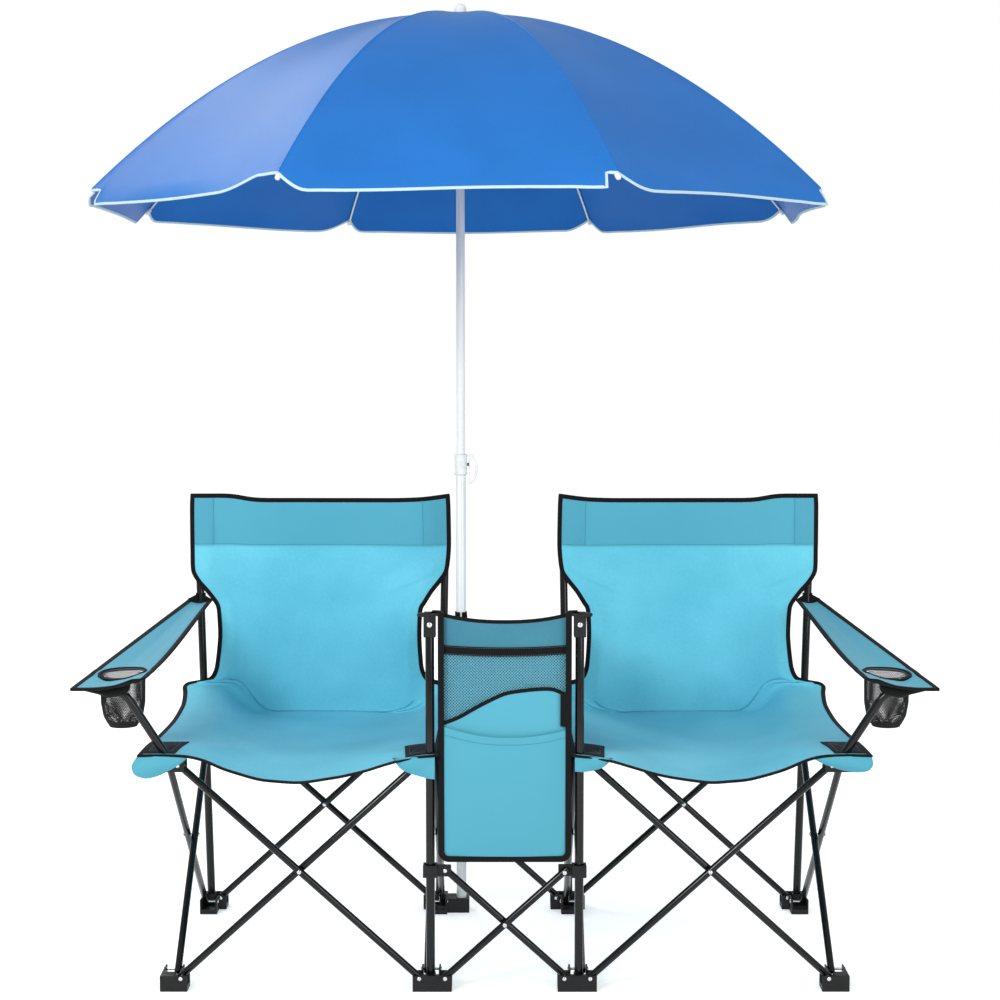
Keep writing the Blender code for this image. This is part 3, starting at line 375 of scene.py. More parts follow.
rivets = []
for label, side in SIDES:
    outer, inner = side * OUTER_X, side * INNER_X
    outer_pivot, inner_pivot = outer - side * CHAIR_INSET, inner + side * CHAIR_INSET
    outer_post, inner_post = f"{label}_outer_back_post", f"{label}_inner_back_post"
    outer_foot, inner_leg = f"{label}_front_outer_foot", LEG_BODY[label]
    arm, slider = f"{label}_arm", f"{label}_back_slider"
    for row, y, forward, seat, outer_end, inner_end in (
        ("front", FRONT_Y, 1.0, arm, outer_foot, inner_leg),
        ("rear", REAR_Y, -1.0, slider, outer_post, inner_post),
    ):
        ahead, behind = y + forward * BRACE_PLANE, y - forward * BRACE_PLANE
        brace(f"{label}_{row}_brace_in", (outer_pivot, ahead, PIVOT_LOW), (inner_pivot, ahead, PIVOT_HIGH))
        brace(
            f"{label}_{row}_brace_out", (inner_pivot, behind, PIVOT_LOW), (outer_pivot, behind, PIVOT_HIGH)
        )
        middle = ((outer_pivot + inner_pivot) / 2, y, PIVOT_MIDDLE)
        for place, centre, reach, body in (
            ("crossing", middle, AT_CROSSING, f"{label}_{row}_brace_out"),
            ("seat_outer", (outer_pivot, y, PIVOT_HIGH), AT_MOULDING, seat),
            ("seat_inner", (inner_pivot, ahead, PIVOT_HIGH), AT_TUBE, f"{label}_{row}_brace_in"),
            ("foot_outer", (outer_pivot, y, PIVOT_LOW), AT_MOULDING, outer_end),
            ("foot_inner", (inner_pivot, y, PIVOT_LOW), AT_MOULDING, inner_end),
        ):
            rivets.append((f"{label}_{row}_{place}", centre, "Y", reach, body))
    front_pivot, rear_pivot = FRONT_Y + SIDE_INSET, REAR_Y - SIDE_INSET
    middle = (front_pivot + rear_pivot) / 2
    for row, x, outwards, front_end, rear_end in (
        ("outer", outer, side, outer_foot, outer_post), ("inner", inner, -side, inner_leg, inner_post),
    ):
        back_x, front_x = x - outwards * BRACE_PLANE, x + outwards * BRACE_PLANE
        back, front = f"{label}_{row}_side_brace_back", f"{label}_{row}_side_brace_front"
        brace(back, (back_x, front_pivot, PIVOT_LOW), (back_x, rear_pivot, PIVOT_HIGH))
        brace(front, (front_x, rear_pivot, PIVOT_LOW), (front_x, front_pivot, PIVOT_HIGH))
        ends = [
            (f"{row}_side_crossing", (x, middle, PIVOT_MIDDLE), AT_CROSSING, back),
            (f"{row}_side_foot_front", (x, front_pivot, PIVOT_LOW), AT_MOULDING, front_end),
            (f"{row}_side_foot_rear", (x, rear_pivot, PIVOT_LOW), AT_MOULDING, rear_end),
        ]
        if row == "outer":
            ends.append(("side_seat_front", (x, front_pivot, PIVOT_HIGH), AT_MOULDING, arm))
            ends.append(("side_seat_rear", (x, rear_pivot, PIVOT_HIGH), AT_MOULDING, slider))
        else:
            ends.append(("inner_side_seat_front", (front_x, front_pivot, PIVOT_HIGH), AT_TUBE, front))
            ends.append(("inner_side_seat_rear", (back_x, rear_pivot, PIVOT_HIGH), AT_TUBE, back))
        for place, centre, reach, body in ends:
            rivets.append((f"{label}_{place}", centre, "X", reach, body))

half_span = INNER_X - CENTRE_INSET
centre_middle = (PIVOT_LOW + PIVOT_MIDDLE) / 2
for name, x, y in (
    ("centre_brace_left", half_span, FRONT_Y - BRACE_PLANE),
    ("centre_brace_right", -half_span, FRONT_Y + BRACE_PLANE),
    ("centre_rear_link", -half_span, REAR_Y + BRACE_PLANE),
):
    brace(name, (-x, y, PIVOT_LOW), (x, y, PIVOT_MIDDLE))
for name, centre, reach, body in (
    ("crossing", (0.0, FRONT_Y, centre_middle), AT_CROSSING, "centre_brace_left"),
    ("foot_left", (-half_span, FRONT_Y, PIVOT_LOW), AT_MOULDING, "frame"),
    ("foot_right", (half_span, FRONT_Y, PIVOT_LOW), AT_MOULDING, "right_table_leg"),
    ("slider_left", (-half_span, FRONT_Y + BRACE_PLANE, PIVOT_MIDDLE), AT_SLIDER, "left_centre_slider"),
    ("slider_right", (half_span, FRONT_Y - BRACE_PLANE, PIVOT_MIDDLE), AT_SLIDER, "right_centre_slider"),
    ("rear_foot", (half_span, REAR_Y, PIVOT_LOW), AT_MOULDING, "right_inner_back_post"),
    ("rear_top", (-half_span, REAR_Y + BRACE_PLANE, PIVOT_MIDDLE), AT_TUBE, "centre_rear_link"),
):
    rivets.append((f"centre_{name}", centre, "Y", reach, body))

# Rivets
# Nickel-plated steel rivets with a domed head on each side, peened through every pair of tubes and every
# moulding. Each is a shank with two spherical heads 8 mm across.
HEAD_RADIUS, HEAD_RISE, SHANK_RADIUS = 0.0040, 0.0018, 0.0022
SHANK_SIDES, SHANK_ROUNDING = 12, 0.0002
nickel = mottled(
    "nickel_plate", {"Scale": 260.0, "Detail": 4.0}, ((0.0, "#b9bbbd"), (1.0, "#e2e3e4")),
    {"Metallic": 1.0}, gloss={"To Min": 0.16, "To Max": 0.34}
)


def riveted(name, centre, along, shank_reach, head_reach, head_size, head_turn, body):
    """A rivet: its shank and a domed head at each end of it."""
    centre = Vector(centre)
    start, end = centre - along * shank_reach, centre + along * shank_reach
    parts = [turned_bar(start, end, 2 * SHANK_RADIUS, SHANK_SIDES, SHANK_ROUNDING)]
    for way in (-1.0, 1.0):
        bpy.ops.mesh.primitive_uv_sphere_add(segments=16, ring_count=8, radius=1.0)
        head = bpy.context.object
        head.scale = head_size
        head.rotation_euler = head_turn
        head.location = centre + along * way * head_reach
        apply_place(head)
        parts.append(head)
    join(f"{name}_rivet", parts, nickel, body)


for name, centre, axis, reach, body in rivets:
    along = Vector((1.0, 0.0, 0.0)) if axis == "X" else Vector((0.0, 1.0, 0.0))
    turn = along.to_track_quat("Z", "Y").to_euler()
    riveted(name, centre, along, reach, reach, (HEAD_RADIUS, HEAD_RADIUS, HEAD_RISE), turn, body)

# Posts and arm tubes
# Two tall posts in front carry the table and four leaning posts behind carry the backs; each arm stands
# on a bent tube in its corner bracket. All are the same black powder-coated steel, with plastic plugs.
POST_DIAMETER, ARM_TUBE_DIAMETER, POST_BOTTOM = 0.016, 0.015, 0.012
TABLE_POST_TOP, BACK_POST_TOP = 0.679, 0.843
BACK_OFFSET, OUTER_SPLAY, INNER_SPLAY = 0.0525, 0.028, 0.014
BRACKET_TOP, ARM_TUBE_LEVEL, ARM_TUBE_FORWARD = 0.4249, 0.5469, 0.020


def back_post_at(side, outer, height):
    """A point on the axis of a back post."""
    share = height / BACK_POST_TOP
    x = OUTER_X + OUTER_SPLAY * share if outer else INNER_X - INNER_SPLAY * share
    return Vector((side * x, REAR_Y + BACK_OFFSET * share, height))


for label, side in SIDES:
    low, high = (side * INNER_X, FRONT_Y, POST_BOTTOM), (side * INNER_X, FRONT_Y, TABLE_POST_TOP)
    tube_piece(f"{label}_table_post", turned_bar(low, high, POST_DIAMETER), LEG_BODY[label])
    for place, outer in (("outer", True), ("inner", False)):
        low, high = back_post_at(side, outer, POST_BOTTOM), back_post_at(side, outer, BACK_POST_TOP)
        post = turned_bar(low, high, POST_DIAMETER)
        tube_piece(f"{label}_{place}_back", post, f"{label}_{place}_back_post")

    # The arm tube leaves the corner bracket leaning outwards and bends level under the arm's cloth
    foot = Vector((side * OUTER_X, FRONT_Y, BRACKET_TOP - 0.003))
    bend = Vector((side * (OUTER_X + 0.069), FRONT_Y - ARM_TUBE_FORWARD, ARM_TUBE_LEVEL - 0.0075))
    stub = Vector((side * (OUTER_X + 0.099), FRONT_Y - ARM_TUBE_FORWARD, ARM_TUBE_LEVEL))
    path = [foot, foot.lerp(bend, 0.5), foot.lerp(bend, 0.86)]
    for k in range(1, 8):
        share = k / 8
        path.append(foot.lerp(bend, 0.86 + 0.14 * share).lerp(bend.lerp(stub, share * 0.45), share))
    path += [bend.lerp(stub, 0.6), stub]
    tube_piece(f"{label}_arm", swept_tube(path, ARM_TUBE_DIAMETER), f"{label}_arm")
    moulded_copy(f"{label}_arm_post", f"{label}_corner_bracket", f"{label}_arm", BRACKET_TOP)

# Table caps
# Black nylon caps on the two front posts: a square socket riveted to the post, under a thin wing that
# the corner of the table's cloth hooks onto, with a second smaller wing towards the seat.
CAP_HALF, CAP_LOW, CAP_TOP, WING_RADIUS, WING_SHARE = 0.0108, 0.639, 0.683, 0.0125, 0.62
CAP_WINGS = ((0.0200, 0.6755, 0.6812), (-0.0190, 0.6770, 0.6830))
CAP_RIVET_Z, CAP_SHANK_REACH, CAP_HEAD_REACH = 0.662, 0.0116, 0.0113
for label, side in SIDES:
    x = side * INNER_X
    bpy.ops.mesh.primitive_cube_add(size=1.0, location=(x, FRONT_Y, (CAP_LOW + CAP_TOP) / 2))
    socket = bpy.context.object
    socket.scale = (2 * CAP_HALF, 2 * CAP_HALF, CAP_TOP - CAP_LOW)
    apply_place(socket)
    parts = [socket]
    for reach, low, high in CAP_WINGS:
        bpy.ops.mesh.primitive_cylinder_add(
            vertices=32, radius=WING_RADIUS, depth=high - low,
            location=(x + side * reach / 2, FRONT_Y, (low + high) / 2),
        )
        wing = bpy.context.object
        wing.scale = (abs(reach) / WING_RADIUS * WING_SHARE, 1.0, 1.0)
        apply_place(wing)
        parts.append(wing)
    cap = merge(parts)
    round_edges(cap, 0.0018, 3, 50.0)
    join(f"{label}_table_cap", [cap], polypropylene, LEG_BODY[label])
    riveted(f"{label}_table_cap", (x, FRONT_Y, CAP_RIVET_Z), Vector((0.0, 1.0, 0.0)), CAP_SHANK_REACH,
            CAP_HEAD_REACH, (0.0052, 0.0024, 0.0052), (0.0, 0.0, 0.0), LEG_BODY[label])

# Seat slings
# Turquoise 600-denier polyester, PU-coated on the back, in one sling from the front hem over the seat and
# up the back. It hangs between four corners, is seamed where seat meets back, and its top is doubled.
SLING_STATIONS = (
    # y, z, outer x and inner x of the edges; dip and bow of the middle; share of the flatter rear section
    (-0.5050, 0.4295, 0.6500, 0.1190, 0.0500, 0.000, 0.00),
    (-0.4200, 0.4292, 0.6490, 0.1190, 0.0465, 0.000, 0.00),
    (-0.3200, 0.4260, 0.6460, 0.1190, 0.0420, 0.000, 0.05),
    (-0.1800, 0.4270, 0.6420, 0.1180, 0.0440, 0.000, 0.25),
    (-0.0700, 0.4365, 0.6420, 0.1180, 0.0500, 0.006, 0.50),
    (-0.0050, 0.4480, 0.6480, 0.1180, 0.0590, 0.018, 0.75),
    (0.0250, 0.4580, 0.6530, 0.1180, 0.0670, 0.034, 0.95),
    (0.0360, 0.4645, 0.6440, 0.1220, 0.0710, 0.044, 1.00),
    (0.0420, 0.4690, 0.6150, 0.1440, 0.0750, 0.049, 1.00),
    (0.0443, 0.4760, 0.5990, 0.1580, 0.0690, 0.050, 1.00),
    (0.0457, 0.4975, 0.5900, 0.1660, 0.0500, 0.050, 1.00),
    (0.0494, 0.5575, 0.5836, 0.1700, 0.0220, 0.049, 1.00),
    (0.0527, 0.6100, 0.5860, 0.1680, 0.0120, 0.047, 1.00),
    (0.0537, 0.6256, 0.5910, 0.1600, 0.0100, 0.046, 1.00),
    (0.0551, 0.6480, 0.6080, 0.1460, 0.0080, 0.043, 1.00),
    (0.0563, 0.6680, 0.6255, 0.1300, 0.0060, 0.040, 1.00),
    (0.0578, 0.6917, 0.6380, 0.1150, 0.0040, 0.036, 1.00),
    (0.0608, 0.7400, 0.6395, 0.1095, 0.0030, 0.028, 1.00),
    (0.0658, 0.8200, 0.6400, 0.1105, 0.0060, 0.015, 1.00),
    (0.0676, 0.8480, 0.6390, 0.1120, 0.0100, 0.012, 1.00),
)
SEAT_SPLIT, CREASE, BAND_LOW = 3.5, 8.0, 17.0
SEAT_SAG_AT = (0.0, 0.10, 0.167, 0.224, 0.285, 0.407, 0.536, 0.684, 0.753, 0.857, 0.93, 1.0)
SEAT_SAG = (0.0, 0.0, 0.02, 0.18, 0.50, 0.88, 1.0, 0.76, 0.58, 0.22, 0.06, 0.0)
REAR_SAG_AT = (0.0, 0.12, 0.165, 0.20, 0.235, 0.28, 0.50, 0.80, 0.89, 0.95, 1.0)
REAR_SAG = (0.0, 0.0, 0.08, 0.50, 0.86, 0.97, 1.0, 0.97, 0.80, 0.38, 0.0)
SLING_COLUMNS, SLING_ROWS = 72, 152
SLING_THICKNESS = 0.0016
# Creases that the hanging cloth makes: start and end as (share across, station), height and half width
SLING_FOLDS = (
    ((0.03, 16.6), (0.20, 14.2), 0.0030, 0.011),
    ((0.06, 17.2), (0.30, 15.2), -0.0018, 0.016),
    ((0.97, 16.6), (0.80, 14.2), 0.0034, 0.010),
    ((0.95, 17.2), (0.72, 15.4), -0.0020, 0.016),
    ((0.02, 6.6), (0.24, 8.6), 0.0035, 0.012),
    ((0.02, 5.4), (0.20, 7.4), -0.0025, 0.014),
    ((0.98, 6.6), (0.76, 8.6), 0.0035, 0.012),
    ((0.98, 5.4), (0.80, 7.4), -0.0025, 0.014),
    ((0.10, 0.4), (0.34, 2.2), 0.0028, 0.016),
    ((0.90, 0.4), (0.70, 2.0), 0.0028, 0.016),
    ((0.30, 9.6), (0.42, 12.0), 0.0014, 0.020),
    ((0.55, 9.4), (0.75, 11.6), 0.0016, 0.024),
    ((0.42, 9.2), (0.50, 10.4), -0.0012, 0.014),
)


def smooth_table(stations, count):
    """Values between stations along a smooth curve through all of them."""
    table = np.array(stations, dtype=float)
    padded = np.vstack([2 * table[0] - table[1], table, 2 * table[-1] - table[-2]])
    at = np.linspace(0.0, len(table) - 1, count)
    cell = np.minimum(at.astype(int), len(table) - 2)
    t = (at - cell)[:, None]
    p0, p1, p2, p3 = (padded[cell + k] for k in range(4))
    # Half-tension Catmull-Rom, which overshoots less at the corners of the outline
    m1, m2 = (p2 - p0) * 0.38, (p3 - p1) * 0.38
    values = (2 * t ** 3 - 3 * t ** 2 + 1) * p1 + (t ** 3 - 2 * t ** 2 + t) * m1
    values += (-2 * t ** 3 + 3 * t ** 2) * p2 + (t ** 3 - t ** 2) * m2
    return at, values


def grid_normals(grid):
    """Unit normals of a grid of points, continuous over the whole sheet."""
    along = np.gradient(grid, axis=0)
    across = np.gradient(grid, axis=1)
    normals = np.cross(across, along)
    return normals / np.linalg.norm(normals, axis=2, keepdims=True)


def grid_lengths(grid):
    """Distances in metres along both ways of a sheet, for its weave."""
    steps = np.linalg.norm(np.diff(grid, axis=1), axis=2).mean(axis=0)
    rises = np.linalg.norm(np.diff(grid, axis=0), axis=2).mean(axis=1)
    u = np.concatenate([[0.0], np.cumsum(steps)])
    v = np.concatenate([[0.0], np.cumsum(rises)])
    return np.stack(np.meshgrid(u, v), axis=2)


def sheet_piece(
    name, grid, thickness, finish, body, normals=None, lengths=None, layers=None, hole=None
):
    """A closed thin shell from a grid of points, with the weave's distances as its UV map."""
    normals = grid_normals(grid) if normals is None else normals
    lengths = grid_lengths(grid) if lengths is None else lengths
    rows, columns = grid.shape[:2]
    front = (grid + normals * thickness / 2).reshape(-1, 3)
    back = (grid - normals * thickness / 2).reshape(-1, 3)
    count = rows * columns
    faces = []
    for r in range(rows - 1):
        for c in range(columns - 1):
            if hole is not None and hole[r, c]:
                continue
            a, b = r * columns + c, r * columns + c + 1
            faces.append((a, b, b + columns, a + columns))
            faces.append((count + a + columns, count + b + columns, count + b, count + a))
    # Every edge of the front that only one face uses gets a narrow face over to the back
    used = {(face[k], face[(k + 1) % 4]) for face in faces[::2] for k in range(4)}
    for a, b in sorted(used):
        if (b, a) not in used:
            faces.append((b, a, count + a, count + b))
    mesh = bpy.data.meshes.new(name)
    mesh.from_pydata(np.vstack([front, back]).tolist(), [], faces)
    piece = link(name, mesh)
    uv = mesh.uv_layers.new(name="weave")
    flat = np.vstack([lengths.reshape(-1, 2)] * 2)
    index = np.empty(len(mesh.loops), dtype=int)
    mesh.loops.foreach_get("vertex_index", index)
    uv.data.foreach_set("uv", flat[index].ravel())
    # The share of the darker tone goes on as a point attribute; it paints shade on the cloth
    if layers is not None:
        doubled = mesh.attributes.new("doubled", "FLOAT", "POINT")
        doubled.data.foreach_set("value", np.concatenate([layers.ravel()] * 2))
    mesh.shade_smooth()
    directions = np.vstack([normals.reshape(-1, 3), -normals.reshape(-1, 3)])
    mesh.normals_split_custom_set_from_vertices(directions.tolist())
    return dress(piece, finish, body)


def binding(name, loop, inwards, normals, finish, body, closed=True, width=0.0090, rise=0.0019):
    """Tape folded over an edge and sewn down: a flat rounded section swept along the edge."""
    profile = (
        (-0.0012, 0.0), (-0.0008, 0.72), (0.0008, 1.0), (width * 0.5, 0.92), (width - 0.0014, 0.95),
        (width - 0.0011, 0.55), (width - 0.0011, -0.55), (width - 0.0014, -0.95), (width * 0.5, -0.92),
        (0.0008, -1.0), (-0.0008, -0.72),
    )
    points, faces = [], []
    for position, inward, normal in zip(loop, inwards, normals):
        for depth, height in profile:
            points.append(Vector(position) + Vector(inward) * depth + Vector(normal) * height * rise)
    sides, count = len(profile), len(loop)
    for k in range(count if closed else count - 1):
        here, there = k * sides, (k + 1) % count * sides
        for j in range(sides):
            after = (j + 1) % sides
            faces.append((here + j, there + j, there + after, here + after))
    if not closed:
        faces.append(tuple(range(sides)))
        faces.append(tuple(reversed(range((count - 1) * sides, count * sides))))
    mesh = bpy.data.meshes.new(name)
    mesh.from_pydata([tuple(point) for point in points], [], faces)
    piece = link(name, mesh)
    face_outwards(piece)
    bpy.ops.object.shade_smooth_by_angle(angle=math.radians(60.0))
    return dress(piece, finish, body)


def edge_frame(loop, normals, closed=True):
    """Directions that point from each point of an edge into the cloth, square to the edge."""
    loop, normals = np.asarray(loop), np.asarray(normals)
    if closed:
        along = np.roll(loop, -1, axis=0) - np.roll(loop, 1, axis=0)
    else:
        along = np.gradient(loop, axis=0)
    inwards = np.cross(normals, along)
    return inwards / np.linalg.norm(inwards, axis=1, keepdims=True)


def stitches(
    name, path, normals, finish, body, pitch=0.0042, length=0.0030, width=0.0009, rise=0.0011
):
    """A row of lock stitches along a path on the cloth, each a small raised bar with bevelled ends."""
    path, normals = np.asarray(path, dtype=float), np.asarray(normals, dtype=float)
    steps = np.linalg.norm(np.diff(path, axis=0), axis=1)
    run = np.concatenate([[0.0], np.cumsum(steps)])
    points, faces = [], []
    for k in range(int(run[-1] / pitch)):
        middle = (k + 0.5) * pitch
        ends = []
        for at in (middle - length / 2, middle + length / 2):
            ends.append(Vector([np.interp(at, run, path[:, i]) for i in range(3)]))
        up = Vector([np.interp(middle, run, normals[:, i]) for i in range(3)]).normalized()
        along = (ends[1] - ends[0]).normalized()
        aside = up.cross(along).normalized()
        start = len(points)
        for end, sign in ((ends[0], 1.0), (ends[1], -1.0)):
            points += [end - aside * width / 2, end + aside * width / 2]
            inner = end + along * sign * length * 0.22 + up * rise
            points += [inner - aside * width * 0.3, inner + aside * width * 0.3]
        faces += [
            tuple(start + i for i in quad)
            for quad in ((0, 1, 3, 2), (2, 3, 7, 6), (6, 7, 5, 4), (0, 2, 6, 4), (1, 5, 7, 3), (0, 4, 5, 1))
        ]
    mesh = bpy.data.meshes.new(name)
    mesh.from_pydata([tuple(point) for point in points], [], faces)
    piece = link(name, mesh)
    return dress(piece, finish, body)


def oxford_cloth(name, light, deep, doubled, thread_mm, sheen, roughness):
    """Plain-woven coated polyester: threads crossing over and under, with soft changes of tone."""
    cloth, tree, shader = new_material(name)
    threads = add(tree, "UVMap", uv_map="weave")
    wave = 2 * math.pi / (2 * thread_mm / 1000)
    turns = add(tree, "VectorMath", {0: threads.outputs["UV"], 1: (wave, wave, 0.0)}, operation="MULTIPLY")
    ways = add(tree, "SeparateXYZ", {0: turns.outputs[0]})
    warp = add(tree, "Math", {0: ways.outputs["X"]}, operation="SINE")
    weft = add(tree, "Math", {0: ways.outputs["Y"]}, operation="SINE")
    over = add(tree, "Math", {0: warp.outputs[0], 1: weft.outputs[0]}, operation="MULTIPLY")
    place = add(tree, "TexCoord")
    slub = add(tree, "TexNoise", {"Vector": place.outputs["Object"], "Scale": 230.0, "Detail": 3.0})
    cloud = add(
        tree, "TexNoise", {"Vector": place.outputs["Object"], "Scale": 5.0, "Detail": 3.0, "Roughness": 0.5}
    )
    tone = add(tree, "Math", {0: slub.outputs["Fac"], 1: 0.35}, operation="MULTIPLY")
    tone = add(tree, "Math", {0: cloud.outputs["Fac"], 1: tone.outputs[0]}, operation="ADD")
    tone = add(tree, "Math", {0: over.outputs[0], 1: 0.10, 2: tone.outputs[0]}, operation="MULTIPLY_ADD")
    shade = add(tree, "ValToRGB", {"Fac": tone.outputs[0]}, ((0.42, deep), (0.95, light)))
    # Where the point attribute asks for it, the colour turns towards the darker tone: painted shade
    where = add(tree, "Attribute", attribute_name="doubled")
    darker = add(
        tree, "Mix", {"Factor": where.outputs["Fac"], "A": shade.outputs["Color"], "B": linear(doubled)},
        data_type="RGBA"
    )
    bump = add(tree, "Bump", {"Height": over.outputs[0], "Strength": 0.35, "Distance": 0.0003})
    feed(tree, shader, {
        "Base Color": darker.outputs["Result"], "Normal": bump.outputs["Normal"], "Roughness": roughness,
        "Sheen Weight": sheen, "Sheen Roughness": 0.45, "IOR": 1.5,
    })
    return cloth


# Threads are drawn 1.1 mm apart instead of 0.5 mm, so that the weave shows
# The third colour is the darker tone that paints shade where a piece asks for it
turquoise_oxford = oxford_cloth(
    "turquoise_oxford_polyester", "#73d5e9", "#58bdd4", "#4ba3b9", 1.1, 0.10, 0.74
)

# Grosgrain binding tape: black polyester with fine ribs across it and no gloss
grosgrain, tree, shader = new_material("black_grosgrain_tape")
place = add(tree, "TexCoord")
fuzz = add(tree, "TexNoise", {"Vector": place.outputs["Object"], "Scale": 900.0, "Detail": 4.0})
ribs = add(tree, "TexVoronoi", {"Vector": place.outputs["Object"], "Scale": 700.0})
shade = add(tree, "ValToRGB", {"Fac": fuzz.outputs["Fac"]}, ((0.3, "#050506"), (0.8, "#161617")))
bump = add(tree, "Bump", {"Height": ribs.outputs["Distance"], "Strength": 0.5, "Distance": 0.0003})
feed(tree, shader, {
    "Base Color": shade.outputs["Color"], "Normal": bump.outputs["Normal"], "Roughness": 0.88,
    "Specular IOR Level": 0.2, "Sheen Weight": 0.03,
})

# Thread: turquoise spun polyester, a little deeper than the cloth
turquoise_thread = mottled(
    "turquoise_thread", {"Scale": 1200.0, "Detail": 2.0}, ((0.0, "#2f7d98"), (1.0, "#4fa2bd")),
    {"Roughness": 0.8}
)


def sling_surface(side):
    """The sling's middle surface as a grid, with its stations, shares across, normals and the share of
    painted shade.
    """
    at, rows = smooth_table(SLING_STATIONS, SLING_ROWS)
    across = np.linspace(0.0, 1.0, SLING_COLUMNS)
    seat_sag = np.interp(across, SEAT_SAG_AT, SEAT_SAG)
    rear_sag = np.interp(across, REAR_SAG_AT, REAR_SAG)
    soft = np.array([0.25, 0.5, 0.25])
    for _ in range(5):
        seat_sag[1:-1] = np.convolve(seat_sag, soft, "valid")
        rear_sag[1:-1] = np.convolve(rear_sag, soft, "valid")
    bow = np.sin(np.pi * np.clip((across - 0.07) / 0.86, 0.0, 1.0)) ** 0.85
    grid = np.zeros((SLING_ROWS, SLING_COLUMNS, 3))
    for r, (y, z, outer, inner, dip, back, rear) in enumerate(rows):
        sag = seat_sag * (1.0 - rear) + rear_sag * rear
        grid[r, :, 0] = side * (outer + (inner - outer) * across)
        grid[r, :, 1] = y + back * bow
        grid[r, :, 2] = z - dip * sag
    normals = grid_normals(grid)
    if side > 0:
        normals = -normals
    station = np.repeat(at[:, None], SLING_COLUMNS, axis=1)
    share = np.repeat(across[None, :], SLING_ROWS, axis=0)
    lift = np.zeros(share.shape)
    # One station is taken as 50 mm and the full width as 500 mm where creases are measured
    for (a0, s0), (a1, s1), height, half_width in SLING_FOLDS:
        start, run = np.array([a0 * 0.5, s0 * 0.05]), np.array([(a1 - a0) * 0.5, (s1 - s0) * 0.05])
        spot = np.stack([share * 0.5, station * 0.05], axis=2) - start
        t = np.clip((spot @ run) / (run @ run), 0.0, 1.0)
        off = np.linalg.norm(spot - t[..., None] * run, axis=2)
        lift += height * np.exp(-(off / half_width) ** 2) * np.sin(np.pi * np.clip(t * 0.9 + 0.05, 0.0, 1.0))
    for r in range(SLING_ROWS):
        for c in range(SLING_COLUMNS):
            spot = Vector(grid[r, c]) * 9.0
            lift[r, c] += 0.0010 * noise.noise(spot) + 0.0004 * noise.noise(spot * 3.1)
    inside = np.clip(np.minimum(share, 1.0 - share) / 0.05, 0.0, 1.0)
    lift *= inside
    # The seam between seat and back pulls the cloth into a shallow groove
    seam = np.exp(-((station - CREASE) / 0.13) ** 2) * np.clip(
        (np.minimum(share - 0.09, 0.93 - share)) / 0.03, 0.0, 1.0
    )
    lift -= 0.0022 * seam
    # The doubled top band stands a little proud of the single cloth below it
    band = np.clip((station - BAND_LOW) / 0.05, 0.0, 1.0)
    lift += 0.0009 * band
    grid = grid + normals * lift[..., None]
    sleeve = (station > BAND_LOW) * ((share < 0.088) + (share > 0.895))
    # The doubled top band and the sleeves round the posts take the darker tone: painted shade
    layers = np.clip(band * 0.85 + sleeve * 0.35 - seam * 0.0, 0.0, 1.0)
    return grid, at, across, grid_normals(grid) * (1.0 if side < 0 else -1.0), layers


def on_sheet(grid, normals, at, across, station, share, lift):
    """A point and normal on the sheet at a station and a share across, a little above it."""
    r = np.interp(station, at, np.arange(len(at)))
    c = np.interp(share, across, np.arange(len(across)))
    r0, c0 = min(int(r), len(at) - 2), min(int(c), len(across) - 2)
    tr, tc = r - r0, c - c0
    pick = lambda g: (g[r0, c0] * (1 - tr) * (1 - tc) + g[r0, c0 + 1] * (1 - tr) * tc
                      + g[r0 + 1, c0] * tr * (1 - tc) + g[r0 + 1, c0 + 1] * tr * tc)
    normal = pick(normals)
    normal = normal / np.linalg.norm(normal)
    return pick(grid) + normal * lift, normal


